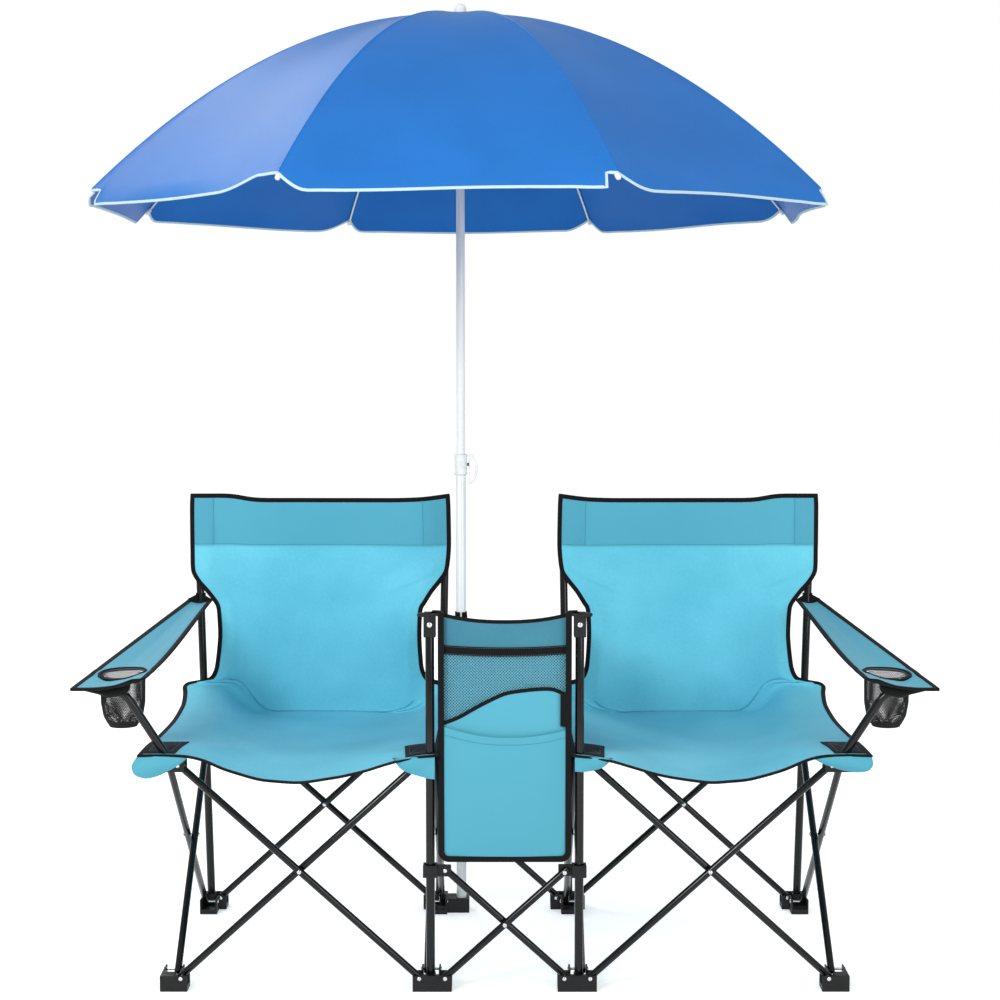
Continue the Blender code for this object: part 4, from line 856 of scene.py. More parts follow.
for label, side in SIDES:
    grid, at, across, normals, layers = sling_surface(side)
    lengths = grid_lengths(grid)
    split_row = int(np.searchsorted(at, SEAT_SPLIT))
    crease_row = int(np.searchsorted(at, CREASE))
    ordered = slice(None) if side < 0 else slice(None, None, -1)
    pieces = []
    for part, low, high, body in (
        ("seat_front", 0, split_row, f"{label}_arm"),
        ("seat_rear", split_row, crease_row, f"{label}_back_slider"),
        ("back", crease_row, SLING_ROWS - 1, f"{label}_outer_back_post"),
    ):
        rows = slice(low, high + 1)
        piece = sheet_piece(
            f"{label}_sling_{part}", grid[rows, ordered], SLING_THICKNESS, turquoise_oxford,
            body, normals[rows, ordered], lengths[rows, ordered], layers[rows, ordered]
        )
        if part == "back":
            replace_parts(piece, f"{label}_seat_sling")
        # Binding tape follows each stretch of the outline on the body that carries it
        outer = [(r, 0) for r in range(high, low - 1, -1)]
        inner = [(r, SLING_COLUMNS - 1) for r in range(low, high + 1)]
        if part == "seat_front":
            run = outer + [(0, c) for c in range(1, SLING_COLUMNS - 1)] + inner
            runs = [run]
        elif part == "back":
            run = inner + [(SLING_ROWS - 1, c) for c in range(SLING_COLUMNS - 2, 0, -1)] + outer
            runs = [run]
        else:
            runs = [outer, inner]
        tapes = []
        for number, run in enumerate(runs):
            loop = np.array([grid[r, c] for r, c in run])
            up = np.array([normals[r, c] for r, c in run])
            inwards = edge_frame(loop, up, closed=False) * (1.0 if side < 0 else -1.0)
            tapes.append(binding(
                f"{label}_sling_{part}_binding_{number + 1}", loop, inwards, up, grosgrain,
                body, closed=False
            ))
        seams = []
        if part == "back":
            lines = [
                [(BAND_LOW + 0.10, a) for a in np.linspace(0.02, 0.98, 120)],
                [(s, 0.088) for s in np.linspace(BAND_LOW + 0.1, 18.9, 60)],
                [(s, 0.895) for s in np.linspace(BAND_LOW + 0.1, 18.9, 60)],
                [(CREASE + 0.22, a) for a in np.linspace(0.10, 0.92, 90)],
            ]
            for number, line in enumerate(lines):
                spots = [on_sheet(grid, normals, at, across, s, a, SLING_THICKNESS / 2) for s, a in line]
                places, ups = zip(*spots)
                name = f"{label}_sling_seam_{number + 1}"
                seams.append(stitches(name, places, ups, turquoise_thread, body))
        # Each piece, its tapes and its seams get a mesh of their own
        for item in [piece] + tapes + seams:
            if part == "seat_front":
                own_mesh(item)
            else:
                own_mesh(item)

# Webbing patches and corner flaps of the seats
# Black webbing is sewn over the seat's front corners, where arm tube and post come through. Under each
# corner hangs a rounded flap of the same turquoise cloth.
def patch_on(name, grid, normals, at, across, corners, body):
    """A patch of webbing on a sling between four corners, each a station and a share, with its stitching."""
    steps = 14
    rows = np.zeros((steps, steps, 3))
    ups = np.zeros((steps, steps, 3))
    corners = np.array(corners)
    for i in range(steps):
        for j in range(steps):
            u, v = j / (steps - 1), i / (steps - 1)
            near, far = (corners[a] * (1 - u) + corners[b] * u for a, b in ((0, 1), (3, 2)))
            spot = near * (1 - v) + far * v
            rows[i, j], ups[i, j] = on_sheet(grid, normals, at, across, spot[0], spot[1], 0.0016)
    piece = sheet_piece(name, rows, 0.0014, grosgrain, body)
    ring = [(2, c) for c in range(2, 12)] + [(r, 11) for r in range(3, 12)]
    ring += [(11, c) for c in range(10, 1, -1)] + [(r, 2) for r in range(10, 2, -1)] + [(2, 2)]
    ring += [(k, k) for k in range(3, 12)]
    path = [rows[r, c] + ups[r, c] * 0.0006 for r, c in ring]
    seam = stitches(f"{name}_stitches", path, [ups[r, c] for r, c in ring], grey_thread, body)
    return [piece, seam]


def hanging_flap(name, side, top, bottom, y, bulge, body):
    """A flap of cloth between its sewn top edge and its free lower edge, each a list of |x| and height."""
    share = np.linspace(0.0, 1.0, 32)
    edges = []
    for line in (top, bottom):
        line = np.array(line)
        at = np.linspace(0.0, 1.0, len(line))
        smooth = smooth_table(line, 32)[1] if len(line) > 2 else np.stack(
            [np.interp(share, at, line[:, k]) for k in (0, 1)], axis=1
        )
        edges.append(smooth)
    rows = np.zeros((18, 32, 3))
    for r in range(18):
        v = r / 17
        flat = edges[0] * (1 - v) + edges[1] * v
        rows[r, :, 0] = side * flat[:, 0]
        swell = bulge * math.sin(math.pi * min(v * 0.8 + 0.1, 1.0)) * np.sin(np.pi * share)
        rows[r, :, 1] = y - swell + 0.004 * v
        rows[r, :, 1] += 0.0012 * np.sin(9.0 * share + 2.0 * v)
        rows[r, :, 2] = flat[:, 1]
    # The whole flap takes the darker tone: painted shade on the hanging cloth
    piece = sheet_piece(name, rows, 0.0012, turquoise_oxford, body, layers=np.ones((18, 32)))
    return piece


# Thread: grey spun polyester, a little lighter than the black webbing that it crosses
grey_thread = mottled(
    "grey_thread", {"Scale": 1200.0, "Detail": 2.0}, ((0.0, "#3a4246"), (1.0, "#5d676c")),
    {"Roughness": 0.8}
)

# The outer flap of the left chair is pulled out sideways in the photograph, and the right one is shorter
OUTER_FLAPS = {
    "left": (
        ((0.649, 0.4290), (0.610, 0.4290), (0.562, 0.4270)),
        (
            (0.651, 0.4280), (0.661, 0.410), (0.655, 0.395), (0.636, 0.3885), (0.612, 0.394),
            (0.580, 0.411), (0.561, 0.4262)
        )
    ),
    "right": (
        ((0.649, 0.4290), (0.600, 0.4290), (0.545, 0.4270)),
        (
            (0.650, 0.4280), (0.652, 0.412), (0.642, 0.402), (0.620, 0.400), (0.592, 0.405), (0.562, 0.416),
            (0.544, 0.4262)
        )
    )
}
INNER_FLAPS = {
    "left": (((0.198, 0.4255), (0.160, 0.4275), (0.124, 0.4290)),
             ((0.199, 0.4245), (0.183, 0.405), (0.160, 0.395), (0.138, 0.3885), (0.1245, 0.3870))),
    "right": (((0.190, 0.4255), (0.160, 0.4275), (0.124, 0.4290)),
              ((0.191, 0.4245), (0.176, 0.410), (0.158, 0.403), (0.140, 0.400), (0.1245, 0.4010))),
}
for label, side in SIDES:
    grid, at, across, normals, layers = sling_surface(side)
    body = f"{label}_arm"
    items = patch_on(f"{label}_outer_patch", grid, normals, at, across,
                     ((0.22, 0.010), (0.20, 0.120), (1.40, 0.134), (1.36, 0.010)), body)
    items += patch_on(f"{label}_inner_patch", grid, normals, at, across,
                      ((0.20, 0.892), (0.22, 0.984), (1.36, 0.984), (1.40, 0.880)), body)
    items.append(hanging_flap(f"{label}_outer_flap", side, *OUTER_FLAPS[label], -0.5035, 0.006, body))
    items.append(hanging_flap(f"{label}_inner_flap", side, *INNER_FLAPS[label], -0.5035, 0.003, body))
    for item in items:
        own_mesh(item)

# Armrests
# Each arm is a tapering strip of the same cloth, bound all round with black tape. A tunnel under its
# front edge holds the arm's tube, and a webbing loop ties its narrow rear end to the back post.
ARM_REAR_Z, ARM_DROP, ARM_TIP_DROP, ARM_MIDDLE_SAG = 0.632, 0.062, 0.0176, 0.006
ARM_REAR_WIDTH, ARM_FRONT_WIDTH, ARM_FRONT_OUT, ARM_REACH = 0.048, 0.129, 0.033, 0.048
ARM_THICKNESS = 0.0022
CUP_RADIUS, CUP_SETBACK, CUP_DEPTH = 0.0385, 0.090, 0.093


def arm_point(side, along, across):
    """A point of the arm's cloth: along runs from the rear end to the front, across to the outer edge."""
    post = back_post_at(side, True, ARM_REAR_Z)
    rear_y, front_y = post.y - 0.0083, FRONT_Y - ARM_REACH
    inner = (abs(post.x) - ARM_REAR_WIDTH / 2) * (1 - along) + (OUTER_X + ARM_FRONT_OUT) * along
    width = ARM_REAR_WIDTH * (1 - along) + ARM_FRONT_WIDTH * along
    height = ARM_REAR_Z - ARM_DROP * along - ARM_TIP_DROP * along * across
    height -= ARM_MIDDLE_SAG * math.sin(math.pi * across)
    # The inner edge hangs slack between its two ends
    height -= 0.010 * (1 - across) ** 1.5 * math.sin(math.pi * along ** 1.4)
    # The front corners are rounded
    corner = 0.020 if across < 0.5 else 0.002
    back_off = max(0.0, along * (rear_y - front_y) - (rear_y - front_y) + corner) / corner
    near = min(across, 1 - across) * width
    trim = corner * (1 - math.sqrt(max(0.0, 1 - back_off ** 2))) if back_off > 0 else 0.0
    pull = trim * max(0.0, 1 - near / (width / 2)) * (1 if across < 0.5 else -1)
    x = inner + width * across + pull
    return Vector((side * x, rear_y + (front_y - rear_y) * along, height))


def arm_height(side, x, y):
    """Height of the arm's cloth above a place."""
    post = back_post_at(side, True, ARM_REAR_Z)
    along = (post.y - 0.0083 - y) / (post.y - 0.0083 - FRONT_Y + ARM_REACH)
    inner = (abs(post.x) - ARM_REAR_WIDTH / 2) * (1 - along) + (OUTER_X + ARM_FRONT_OUT) * along
    width = ARM_REAR_WIDTH * (1 - along) + ARM_FRONT_WIDTH * along
    return arm_point(side, along, min(max((abs(x) - inner) / width, 0.0), 1.0)).z


def net(name, strands, width, finish, body):
    """Knotless netting: each strand is a three-sided thread along its own points."""
    points, faces = [], []
    for line, ups in strands:
        line, ups = np.asarray(line, dtype=float), np.asarray(ups, dtype=float)
        along = np.gradient(line, axis=0)
        aside = np.cross(along, ups)
        aside /= np.linalg.norm(aside, axis=1, keepdims=True)
        start = len(points)
        for p, a, u in zip(line, aside, ups):
            points += [p + a * width / 2, p - a * width / 2, p + u * width * 0.8]
        for k in range(len(line) - 1):
            for j in range(3):
                here, there = start + 3 * k, start + 3 * k + 3
                faces.append((here + j, here + (j + 1) % 3, there + (j + 1) % 3, there + j))
        faces.append((start, start + 2, start + 1))
        last = start + 3 * (len(line) - 1)
        faces.append((last, last + 1, last + 2))
    mesh = bpy.data.meshes.new(name)
    mesh.from_pydata([tuple(point) for point in points], [], faces)
    piece = link(name, mesh)
    face_outwards(piece)
    return dress(piece, finish, body)


def border(rows, columns):
    """The outline of a grid as rows and columns, once round."""
    loop = [(0, c) for c in range(columns)] + [(r, columns - 1) for r in range(1, rows)]
    loop += [(rows - 1, c) for c in range(columns - 2, -1, -1)]
    return loop + [(r, 0) for r in range(rows - 2, 0, -1)]


# Net: black polyester thread, dull
black_net = mottled(
    "black_polyester_net", {"Scale": 800.0, "Detail": 3.0}, ((0.0, "#0a0a0b"), (1.0, "#1c1c1f")),
    {"Roughness": 0.75}
)

for label, side in SIDES:
    rows, columns = 120, 40
    grid = np.array([[arm_point(
        side, (r / (rows - 1)) ** 0.96, c / (columns - 1)
    ) for c in range(columns)] for r in range(rows)])
    post = back_post_at(side, True, ARM_REAR_Z)
    share = (post.y - 0.0083 - FRONT_Y + ARM_REACH - CUP_SETBACK) / (post.y - 0.0083 - FRONT_Y + ARM_REACH)
    centre = arm_point(side, share, 0.5)
    centre.z = ARM_REAR_Z - ARM_DROP * share - ARM_TIP_DROP * share * 0.5 - ARM_MIDDLE_SAG
    # The cloth is gathered a little round the cup's ring and creased towards the post
    off = np.hypot(grid[..., 0] - centre.x, grid[..., 1] - centre.y)
    turn = np.arctan2(grid[..., 1] - centre.y, grid[..., 0] - centre.x)
    grid[..., 2] += 0.0006 * np.sin(7.0 * turn) * np.exp(-((off - 0.050) / 0.012) ** 2)
    ease = np.sin(np.pi * np.linspace(0.0, 1.0, rows)) ** 0.7
    slope = np.linspace(0.0, 1.0, columns)
    for height, place, shift, width in ((0.0022, 0.36, 0.2, 0.09), (-0.0020, 0.70, 0.1, 0.12)):
        beside = (slope[None, :] - place + shift * ease[:, None]) / width
        grid[..., 2] += height * ease[:, None] * np.exp(-beside ** 2)
    # The ring of cloth next to the cup's hole is drawn to the circle, and the cells inside are left out
    middles = (off[:-1, :-1] + off[1:, :-1] + off[:-1, 1:] + off[1:, 1:]) / 4
    hole = middles < CUP_RADIUS + 0.0015
    edge = (off < CUP_RADIUS + 0.004) & (off > 0.020)
    drawn = np.maximum(off, CUP_RADIUS + 0.0015)
    for axis, middle in ((0, centre.x), (1, centre.y)):
        grid[..., axis] = np.where(
            edge, middle + (grid[..., axis] - middle) * drawn / np.maximum(off, 1e-6), grid[..., axis]
        )
    normals = grid_normals(grid)
    body = f"{label}_arm"
    # The arm's cloth takes most of the darker tone: painted shade
    cloth = sheet_piece(
        f"{label}_armrest_cloth", grid, ARM_THICKNESS, turquoise_oxford, body, hole=hole,
        layers=np.full((rows, columns), 0.8)
    )
    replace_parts(cloth, f"{label}_armrest")
    loop = border(rows, columns)
    line = np.array([grid[r, c] for r, c in loop])
    ups = np.array([normals[r, c] for r, c in loop])
    items = [
        cloth,
        binding(
            f"{label}_armrest_binding", line, edge_frame(line, ups), ups, grosgrain, body,
            rise=0.0024
        )
    ]
    # The cup's ring, its grey piping, and the pouch of netting below it
    turns = [2 * math.pi * k / 96 for k in range(96)]
    ring, outwards, piping = [], [], []
    for turn in turns:
        out = Vector((math.cos(turn), math.sin(turn), 0.0))
        at_edge = centre + out * CUP_RADIUS
        ring.append((at_edge.x, at_edge.y, arm_height(side, at_edge.x, at_edge.y)))
        outwards.append(out)
        piping.append(Vector(ring[-1]) - out * 0.0010)
    up = Vector((0.0, 0.0, 1.0))
    items.append(binding(f"{label}_cup_ring", ring, outwards, [up] * 96, grosgrain, body,
                         width=0.0070, rise=0.0031))
    cord = swept_tube(piping + piping[:1], 0.0024, 8)
    items.append(join(f"{label}_cup_piping", [cord], grey_thread, body))
    strands = []
    depth = np.linspace(0.0, 1.0, 20)
    radius = np.interp(
        depth, (0.0, 0.1, 0.55, 0.80, 0.92, 1.0), (0.0385, 0.0392, 0.0385, 0.0345, 0.0290, 0.0240)
    )
    for way in (-1.0, 1.0):
        for k in range(76):
            turn = 2 * math.pi * k / 76 + way * 1.5 * depth
            out = np.stack([np.cos(turn), np.sin(turn), np.zeros(20)], axis=1)
            line = out * radius[:, None]
            line[:, 0] += centre.x
            line[:, 1] += centre.y
            line[:, 2] = centre.z - 0.001 - CUP_DEPTH * depth
            strands.append((line, out))
    for axis in (0, 1):
        for k in range(-6, 7):
            away = k * 0.0037
            reach = math.sqrt(max(0.0240 ** 2 - away ** 2, 0.0))
            run = np.linspace(-reach, reach, 5)
            line = np.zeros((5, 3))
            line[:, axis], line[:, 1 - axis] = run, away
            line += np.array((centre.x, centre.y, centre.z - 0.001 - CUP_DEPTH))
            strands.append((line, np.tile((0.0, 0.0, -1.0), (5, 1))))
    items.append(net(f"{label}_cup_net", strands, 0.00115, black_net, body))
    hem = [centre + Vector((math.cos(t) * 0.0242, math.sin(t) * 0.0242, -0.001 - CUP_DEPTH)) for t in turns]
    items.append(join(
        f"{label}_cup_net_hem", [swept_tube(hem + hem[:1], 0.0022, 8)], black_net, body
    ))

    # The tunnel under the front edge lies round the arm's tube and tapers to the outer corner
    stations = (
        (0.662, 0.0070), (0.672, 0.0105), (0.700, 0.0105), (0.716, 0.0074), (0.738, 0.0046), (0.752, 0.0030)
    )
    tunnel = []
    for x, reach in smooth_table(stations, 28)[1]:
        spot = Vector((side * x, FRONT_Y - 0.020, 0.0))
        spot.z = arm_height(side, side * x, spot.y) - reach - 0.0022
        for k in range(20):
            turn = 2 * math.pi * k / 20
            tunnel.append(spot + Vector((0.0, math.cos(turn) * reach * 1.25, math.sin(turn) * reach)))
    faces = [
        (20 * i + k, 20 * i + (k + 1) % 20, 20 * i + 20 + (k + 1) % 20, 20 * i + 20 + k)
        for i in range(27) for k in range(20)
    ]
    faces += [tuple(range(20)), tuple(reversed(range(540, 560)))]
    mesh = bpy.data.meshes.new("tunnel")
    mesh.from_pydata([tuple(point) for point in tunnel], [], faces)
    sleeve = link("tunnel", mesh)
    items.append(join(f"{label}_armrest_tunnel", [sleeve], grosgrain, body))

    # The webbing loop runs round the back post and is sewn to both corners of the arm's rear end
    path, height = [], 0.018
    left_corner, right_corner = Vector(grid[1, 1]), Vector(grid[1, -2])
    for k in range(33):
        turn = math.radians(-62.0 + 304.0 * k / 32)
        path.append(Vector((post.x + math.cos(turn) * 0.0096, post.y + math.sin(turn) * 0.0096, 0.0)))
    if (Vector(path[0]) - left_corner).length > (Vector(path[0]) - right_corner).length:
        left_corner, right_corner = right_corner, left_corner
    path = [left_corner] + path + [right_corner]
    flat = np.array([[point.x, point.y] for point in path])
    loop_grid = np.zeros((6, len(path), 3))
    for r in range(6):
        v = r / 5 - 0.5
        ends = np.ones(len(path))
        ends[0] = ends[-1] = 0.35
        loop_grid[r, :, 0], loop_grid[r, :, 1] = flat[:, 0], flat[:, 1]
        loop_grid[r, :, 2] = ARM_REAR_Z + 0.004 + height * v * ends - 0.004 * (ends < 1)
    items.append(sheet_piece(f"{label}_armrest_loop", loop_grid, 0.0014, grosgrain, body))
    for item in items:
        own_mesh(item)

# Table bag
# One sewn piece between the chairs: a table top that slopes to the back, a front panel with a window of
# net, an inner flap, a big front pocket, and the soft bag behind. Black tape binds every edge.
BAG_HALF, BAG_LOW, BAG_CORNER = 0.1165, 0.2370, 0.0170
BAG_FRONT, BAG_REAR, TABLE_TOP, TABLE_REAR = -0.4820, -0.0260, 0.6815, 0.6100
WINDOW_TOP, WINDOW_LOW, BAND_HEIGHT = 0.6110, 0.4480, 0.0160


def bag_panel(rows, columns, place):
    """A grid over a panel, whose points come from their shares across, -1 to 1, and along, 0 to 1."""
    grid = np.zeros((rows, columns, 3))
    for r in range(rows):
        v = r / (rows - 1)
        for c in range(columns):
            u = 2 * c / (columns - 1) - 1
            grid[r, c] = place(u, v)
    return grid


def rounded_half(z):
    """Half width of the bag's front at a height: its two lower corners are rounded."""
    rise = min(max(z - BAG_LOW, 0.0), BAG_CORNER)
    return BAG_HALF - BAG_CORNER + math.sqrt(BAG_CORNER ** 2 - (BAG_CORNER - rise) ** 2)


def table_sag(u):
    """How far the table's cloth hangs below its two sides."""
    return 0.0145 * (1 - abs(u) ** 2.3)


def panel_front(u, z):
    """How far forward of its edges the front panel lies."""
    return -0.0035 * (1 - u * u)


# The upper panel and the bag behind the net are a darker copy of the same cloth, which paints their shade
painted_shade_bag_cloth = oxford_cloth("deep_turquoise_oxford", "#3c8499", "#327489", "#327489", 1.1, 0.06, 0.80)

bag_items = []


def bag_sheet(name, grid, finish, layers=None, thickness=0.0014):
    piece = sheet_piece(name, grid, thickness, finish, "frame", layers=layers)
    bag_items.append(piece)
    return piece


def bag_tape(name, line, ups, closed=False, width=0.0085, rise=0.0019, flip=1.0):
    inwards = edge_frame(line, ups, closed=closed) * flip
    bag_items.append(binding(
        name, line, inwards, ups, grosgrain, "frame", closed=closed, width=width, rise=rise
    ))


def bag_seam(name, line, ups, thread):
    bag_items.append(stitches(name, line, ups, thread, "frame"))


def bag_strap(name, path, ups, width, finish=grosgrain, thickness=0.0013):
    """Flat webbing along a path, with its width square to the path and its normals."""
    path, ups = np.asarray(path, dtype=float), np.asarray(ups, dtype=float)
    along = np.gradient(path, axis=0)
    aside = np.cross(ups, along)
    aside /= np.linalg.norm(aside, axis=1, keepdims=True)
    grid = np.stack([path + aside * width * (k / 4 - 0.5) for k in range(5)], axis=1)
    piece = sheet_piece(name, grid, thickness, finish, "frame")
    bag_items.append(piece)


# Table top, from its front edge down to its rear edge, with soft cross folds
def table_place(u, v):
    y = BAG_FRONT + (BAG_REAR - BAG_FRONT) * v
    side_z = TABLE_TOP + (TABLE_REAR - TABLE_TOP) * v - 0.010 * math.sin(math.pi * v)
    z = side_z - table_sag(u) * (1 - 0.25 * v)
    z += 0.0009 * math.sin(11.0 * v + 2.0 * u) * (1 - u * u)
    return (u * BAG_HALF, y, z)


grid = bag_panel(60, 41, table_place)
bag_sheet("table_top_cloth", grid, turquoise_oxford)
normals = grid_normals(grid)
for column, flip, label in ((0, -1.0, "left"), (40, 1.0, "right")):
    bag_tape(f"table_top_{label}_binding", grid[:, column], normals[:, column], flip=flip)
bag_tape("table_top_rear_binding", grid[59, ::-1], normals[59, ::-1])

# Front panel above the window
def upper_place(u, v):
    top = TABLE_TOP + 0.001 - table_sag(u)
    low = WINDOW_TOP + 0.004 - 0.004 * (1 - u * u)
    return (u * BAG_HALF, BAG_FRONT - 0.0015 + panel_front(u, 0) * (1 - v), low + (top - low) * v)


grid = bag_panel(20, 41, upper_place)
# The upper panel is the darker copy of the cloth: painted shade
bag_sheet("bag_upper_panel", grid, painted_shade_bag_cloth)
normals = grid_normals(grid)
bag_tape("table_top_front_binding", grid[19, ::-1], normals[19, ::-1], width=0.0065)

# Webbing band across, over the top of the window
band = []
for k in range(41):
    u = k / 20 - 1
    band.append((
        u * (BAG_HALF - 0.002), BAG_FRONT - 0.0032 + panel_front(u, 0),
        WINDOW_TOP + 0.006 - 0.0042 * (1 - u * u)
    ))
bag_strap("bag_window_band", band, [(0.0, -1.0, 0.0)] * 41, BAND_HEIGHT)
for number, away in enumerate((-0.0062, 0.0062)):
    line = [(x, y - 0.0007, z + away) for x, y, z in band]
    bag_seam(f"bag_band_seam_{number + 1}", line, [(0.0, -1.0, 0.0)] * 41, grey_thread)

# Window of net: fine light threads in two directions, on the bag's front wall behind it
window_thread = mottled(
    "turquoise_net_thread", {"Scale": 700.0, "Detail": 2.0}, ((0.0, "#4fa9c0"), (1.0, "#9fdcea")),
    {"Roughness": 0.6}
)
strands = []
pitch, height = 0.0052, WINDOW_TOP - WINDOW_LOW + 0.006
for way in (-1.0, 1.0):
    start = -BAG_HALF - height
    while start < BAG_HALF:
        line = []
        for k in range(25):
            z = WINDOW_LOW + height * k / 24
            x = start + (z - WINDOW_LOW)
            if abs(x) < BAG_HALF - 0.003:
                line.append((way * x, BAG_FRONT - 0.001 + panel_front(x / BAG_HALF, 0), z))
        if len(line) > 2:
            strands.append((np.array(line), np.tile((0.0, -1.0, 0.0), (len(line), 1))))
        start += pitch
bag_items.append(net("bag_window_net", strands, 0.0011, window_thread, "frame"))



def wall_place(u, v):
    """The wall of cloth behind the window."""
    z = 0.440 + (WINDOW_TOP + 0.002 - 0.440) * v
    return (u * (BAG_HALF - 0.002), BAG_FRONT + 0.0050 + 0.0025 * math.sin(math.pi * v) * (1 - u * u), z)


# The wall behind the net is the darker copy of the cloth: painted shade
bag_sheet("bag_window_wall", bag_panel(20, 31, wall_place), painted_shade_bag_cloth)

# Behind the net lies the soft bag: a lofted shell with rounded edges whose walls bulge and sag
rings, points = 34, []
for r in range(rings):
    v = r / (rings - 1)
    z = BAG_LOW + 0.004 + (0.576 - BAG_LOW - 0.004) * v
    tuck = 0.010 * (1 - min(v / 0.05, 1.0)) ** 2 + 0.014 * max(0.0, (v - 0.95) / 0.05) ** 2
    for k in range(120):
        turn = 2 * math.pi * k / 120
        # A rounded rectangle as a superellipse
        cx, cy = math.cos(turn), math.sin(turn)
        scale = (abs(cx) ** 7 + abs(cy) ** 7) ** (-1 / 7)
        ux, uy = cx * scale, cy * scale
        bulge = 0.0045 * math.sin(math.pi * v ** 0.7) * (1 - uy ** 2) - 0.003
        x = ux * (0.1060 - tuck + bulge * (abs(ux) > 0.6) * abs(ux))
        y_half = (BAG_REAR - 0.004 - BAG_FRONT - 0.014) / 2
        y_middle = (BAG_REAR - 0.004 + BAG_FRONT + 0.014) / 2
        y = y_middle + uy * (y_half - tuck - 0.003 * math.sin(math.pi * v) * (1 - ux ** 2))
        wave = 0.0012 * noise.noise(Vector((x * 14, y * 14, z * 10)))
        points.append((x + wave, y + wave, z))
faces = [
    (120 * r + k, 120 * r + (k + 1) % 120, 120 * r + 120 + (k + 1) % 120, 120 * r + 120 + k)
    for r in range(rings - 1) for k in range(120)
]
bottom, top = len(points), len(points) + 1
points += [(0.0, (BAG_FRONT + BAG_REAR) / 2, BAG_LOW + 0.001), (0.0, (BAG_FRONT + BAG_REAR) / 2, 0.566)]
faces += [(bottom, (k + 1) % 120, k) for k in range(120)]
last = 120 * (rings - 1)
faces += [(top, last + k, last + (k + 1) % 120) for k in range(120)]
mesh = bpy.data.meshes.new("soft_bag")
mesh.from_pydata(points, [], faces)
uv = mesh.uv_layers.new(name="weave")
for loop in mesh.loops:
    point = mesh.vertices[loop.vertex_index].co
    uv.data[loop.index].uv = (point.x + point.y, point.z)
soft_bag = link("bag_body", mesh)
mesh.shade_smooth()
# The bag is the darker copy of the cloth: painted shade behind the net and the pocket
dress(soft_bag, painted_shade_bag_cloth, "frame")
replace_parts(soft_bag, "table_bag")
bag_items.append(soft_bag)

# Gussets carry the table down to the bag on both sides
for side, label in ((-1.0, "left"), (1.0, "right")):
    grid = np.zeros((14, 60, 3))
    for c in range(60):
        v = c / 59
        y = BAG_FRONT + 0.002 + (BAG_REAR - BAG_FRONT - 0.006) * v
        high = table_place(side, v)[2] - 0.0016
        for r in range(14):
            w = r / 13
            low_x = 0.1045
            x = low_x + (BAG_HALF - 0.0008 - low_x) * w + 0.0015 * math.sin(math.pi * w)
            grid[r, c] = (side * x, y, 0.560 + (high - 0.560) * w)
    bag_sheet(f"bag_gusset_{label}", grid, turquoise_oxford)

# Inner flap behind the pocket, with a piped top edge that rises to the right
FLAP_EDGE = (
    (-1.0, 0.4850), (-0.72, 0.4980), (-0.40, 0.5190), (0.0, 0.5400), (0.40, 0.5475), (0.74, 0.5480),
    (1.0, 0.5360)
)


def flap_place(u, v):
    top = float(np.interp(u, flap_u, flap_z))
    low = BAG_LOW + 0.04
    fold = 0.0016 * math.sin(7.0 * u + 5.0 * v) * v
    swell = 0.0085 * (1 - u * u) * math.sin(math.pi * min(0.15 + v * 0.75, 1.0))
    y = BAG_FRONT - 0.0045 - swell - fold * (1 - u * u)
    return (u * (BAG_HALF - 0.003), y, low + (top - low) * v)


flap_curve = smooth_table(FLAP_EDGE, 60)[1]
flap_u, flap_z = flap_curve[:, 0], flap_curve[:, 1]
grid = bag_panel(40, 51, flap_place)
# The flap takes most of the darker tone: painted shade behind the pocket
bag_sheet("bag_inner_flap", grid, turquoise_oxford, layers=np.full((40, 51), 0.9))
normals = grid_normals(grid)
bag_tape("bag_inner_flap_binding", grid[39, ::-1], normals[39, ::-1], width=0.0065, rise=0.0020)

# Front pocket: its top edge sags between the side seams and its cloth stands away from the flap
def pocket_place(u, v):
    w = v ** 1.5 if v < 0.12 else v
    top = 0.4820 - 0.0200 * (1 - abs(u) ** 1.8) - 0.0060 * (u > 0) * u
    z = BAG_LOW + (top - BAG_LOW) * v ** (1.35 if v < 1 else 1.0)
    half = rounded_half(z) if z < BAG_LOW + BAG_CORNER else BAG_HALF
    belly = 0.0165 * math.sin(math.pi * min(0.04 + 0.62 * v, 1.0)) * (1 - abs(u) ** 2.6)
    crease = 0.0012 * math.sin(5.0 * u - 3.0 * v) * (1 - u * u) * v
    return (u * half, BAG_FRONT - 0.0062 - belly - crease, z)


grid = bag_panel(70, 51, pocket_place)
# The pocket takes the full darker tone: painted shade on the front of the bag
bag_sheet("bag_front_pocket", grid, turquoise_oxford, layers=np.full((70, 51), 1.0))
normals = grid_normals(grid)
hem = grid[66]
bag_seam("bag_pocket_hem_seam", hem + normals[66] * 0.0008, normals[66], turquoise_thread)

# Tape round the whole front: down one side, round the lower corners and up the other side
outline, corner_steps = [], 12
for z in np.linspace(TABLE_TOP + 0.002, BAG_LOW + BAG_CORNER, 60):
    outline.append((-BAG_HALF - 0.001, z))
for k in range(1, corner_steps):
    turn = math.pi + math.pi / 2 * k / corner_steps
    outline.append((
        -BAG_HALF + BAG_CORNER + math.cos(turn) * (BAG_CORNER + 0.001),
        BAG_LOW + BAG_CORNER + math.sin(turn) * (BAG_CORNER + 0.001)
    ))
for x in np.linspace(-BAG_HALF + BAG_CORNER, BAG_HALF - BAG_CORNER, 30):
    outline.append((x, BAG_LOW - 0.001))
for k in range(1, corner_steps):
    turn = -math.pi / 2 + math.pi / 2 * k / corner_steps
    outline.append((
        BAG_HALF - BAG_CORNER + math.cos(turn) * (BAG_CORNER + 0.001),
        BAG_LOW + BAG_CORNER + math.sin(turn) * (BAG_CORNER + 0.001)
    ))
for z in np.linspace(BAG_LOW + BAG_CORNER, TABLE_TOP + 0.002, 60):
    outline.append((BAG_HALF + 0.001, z))
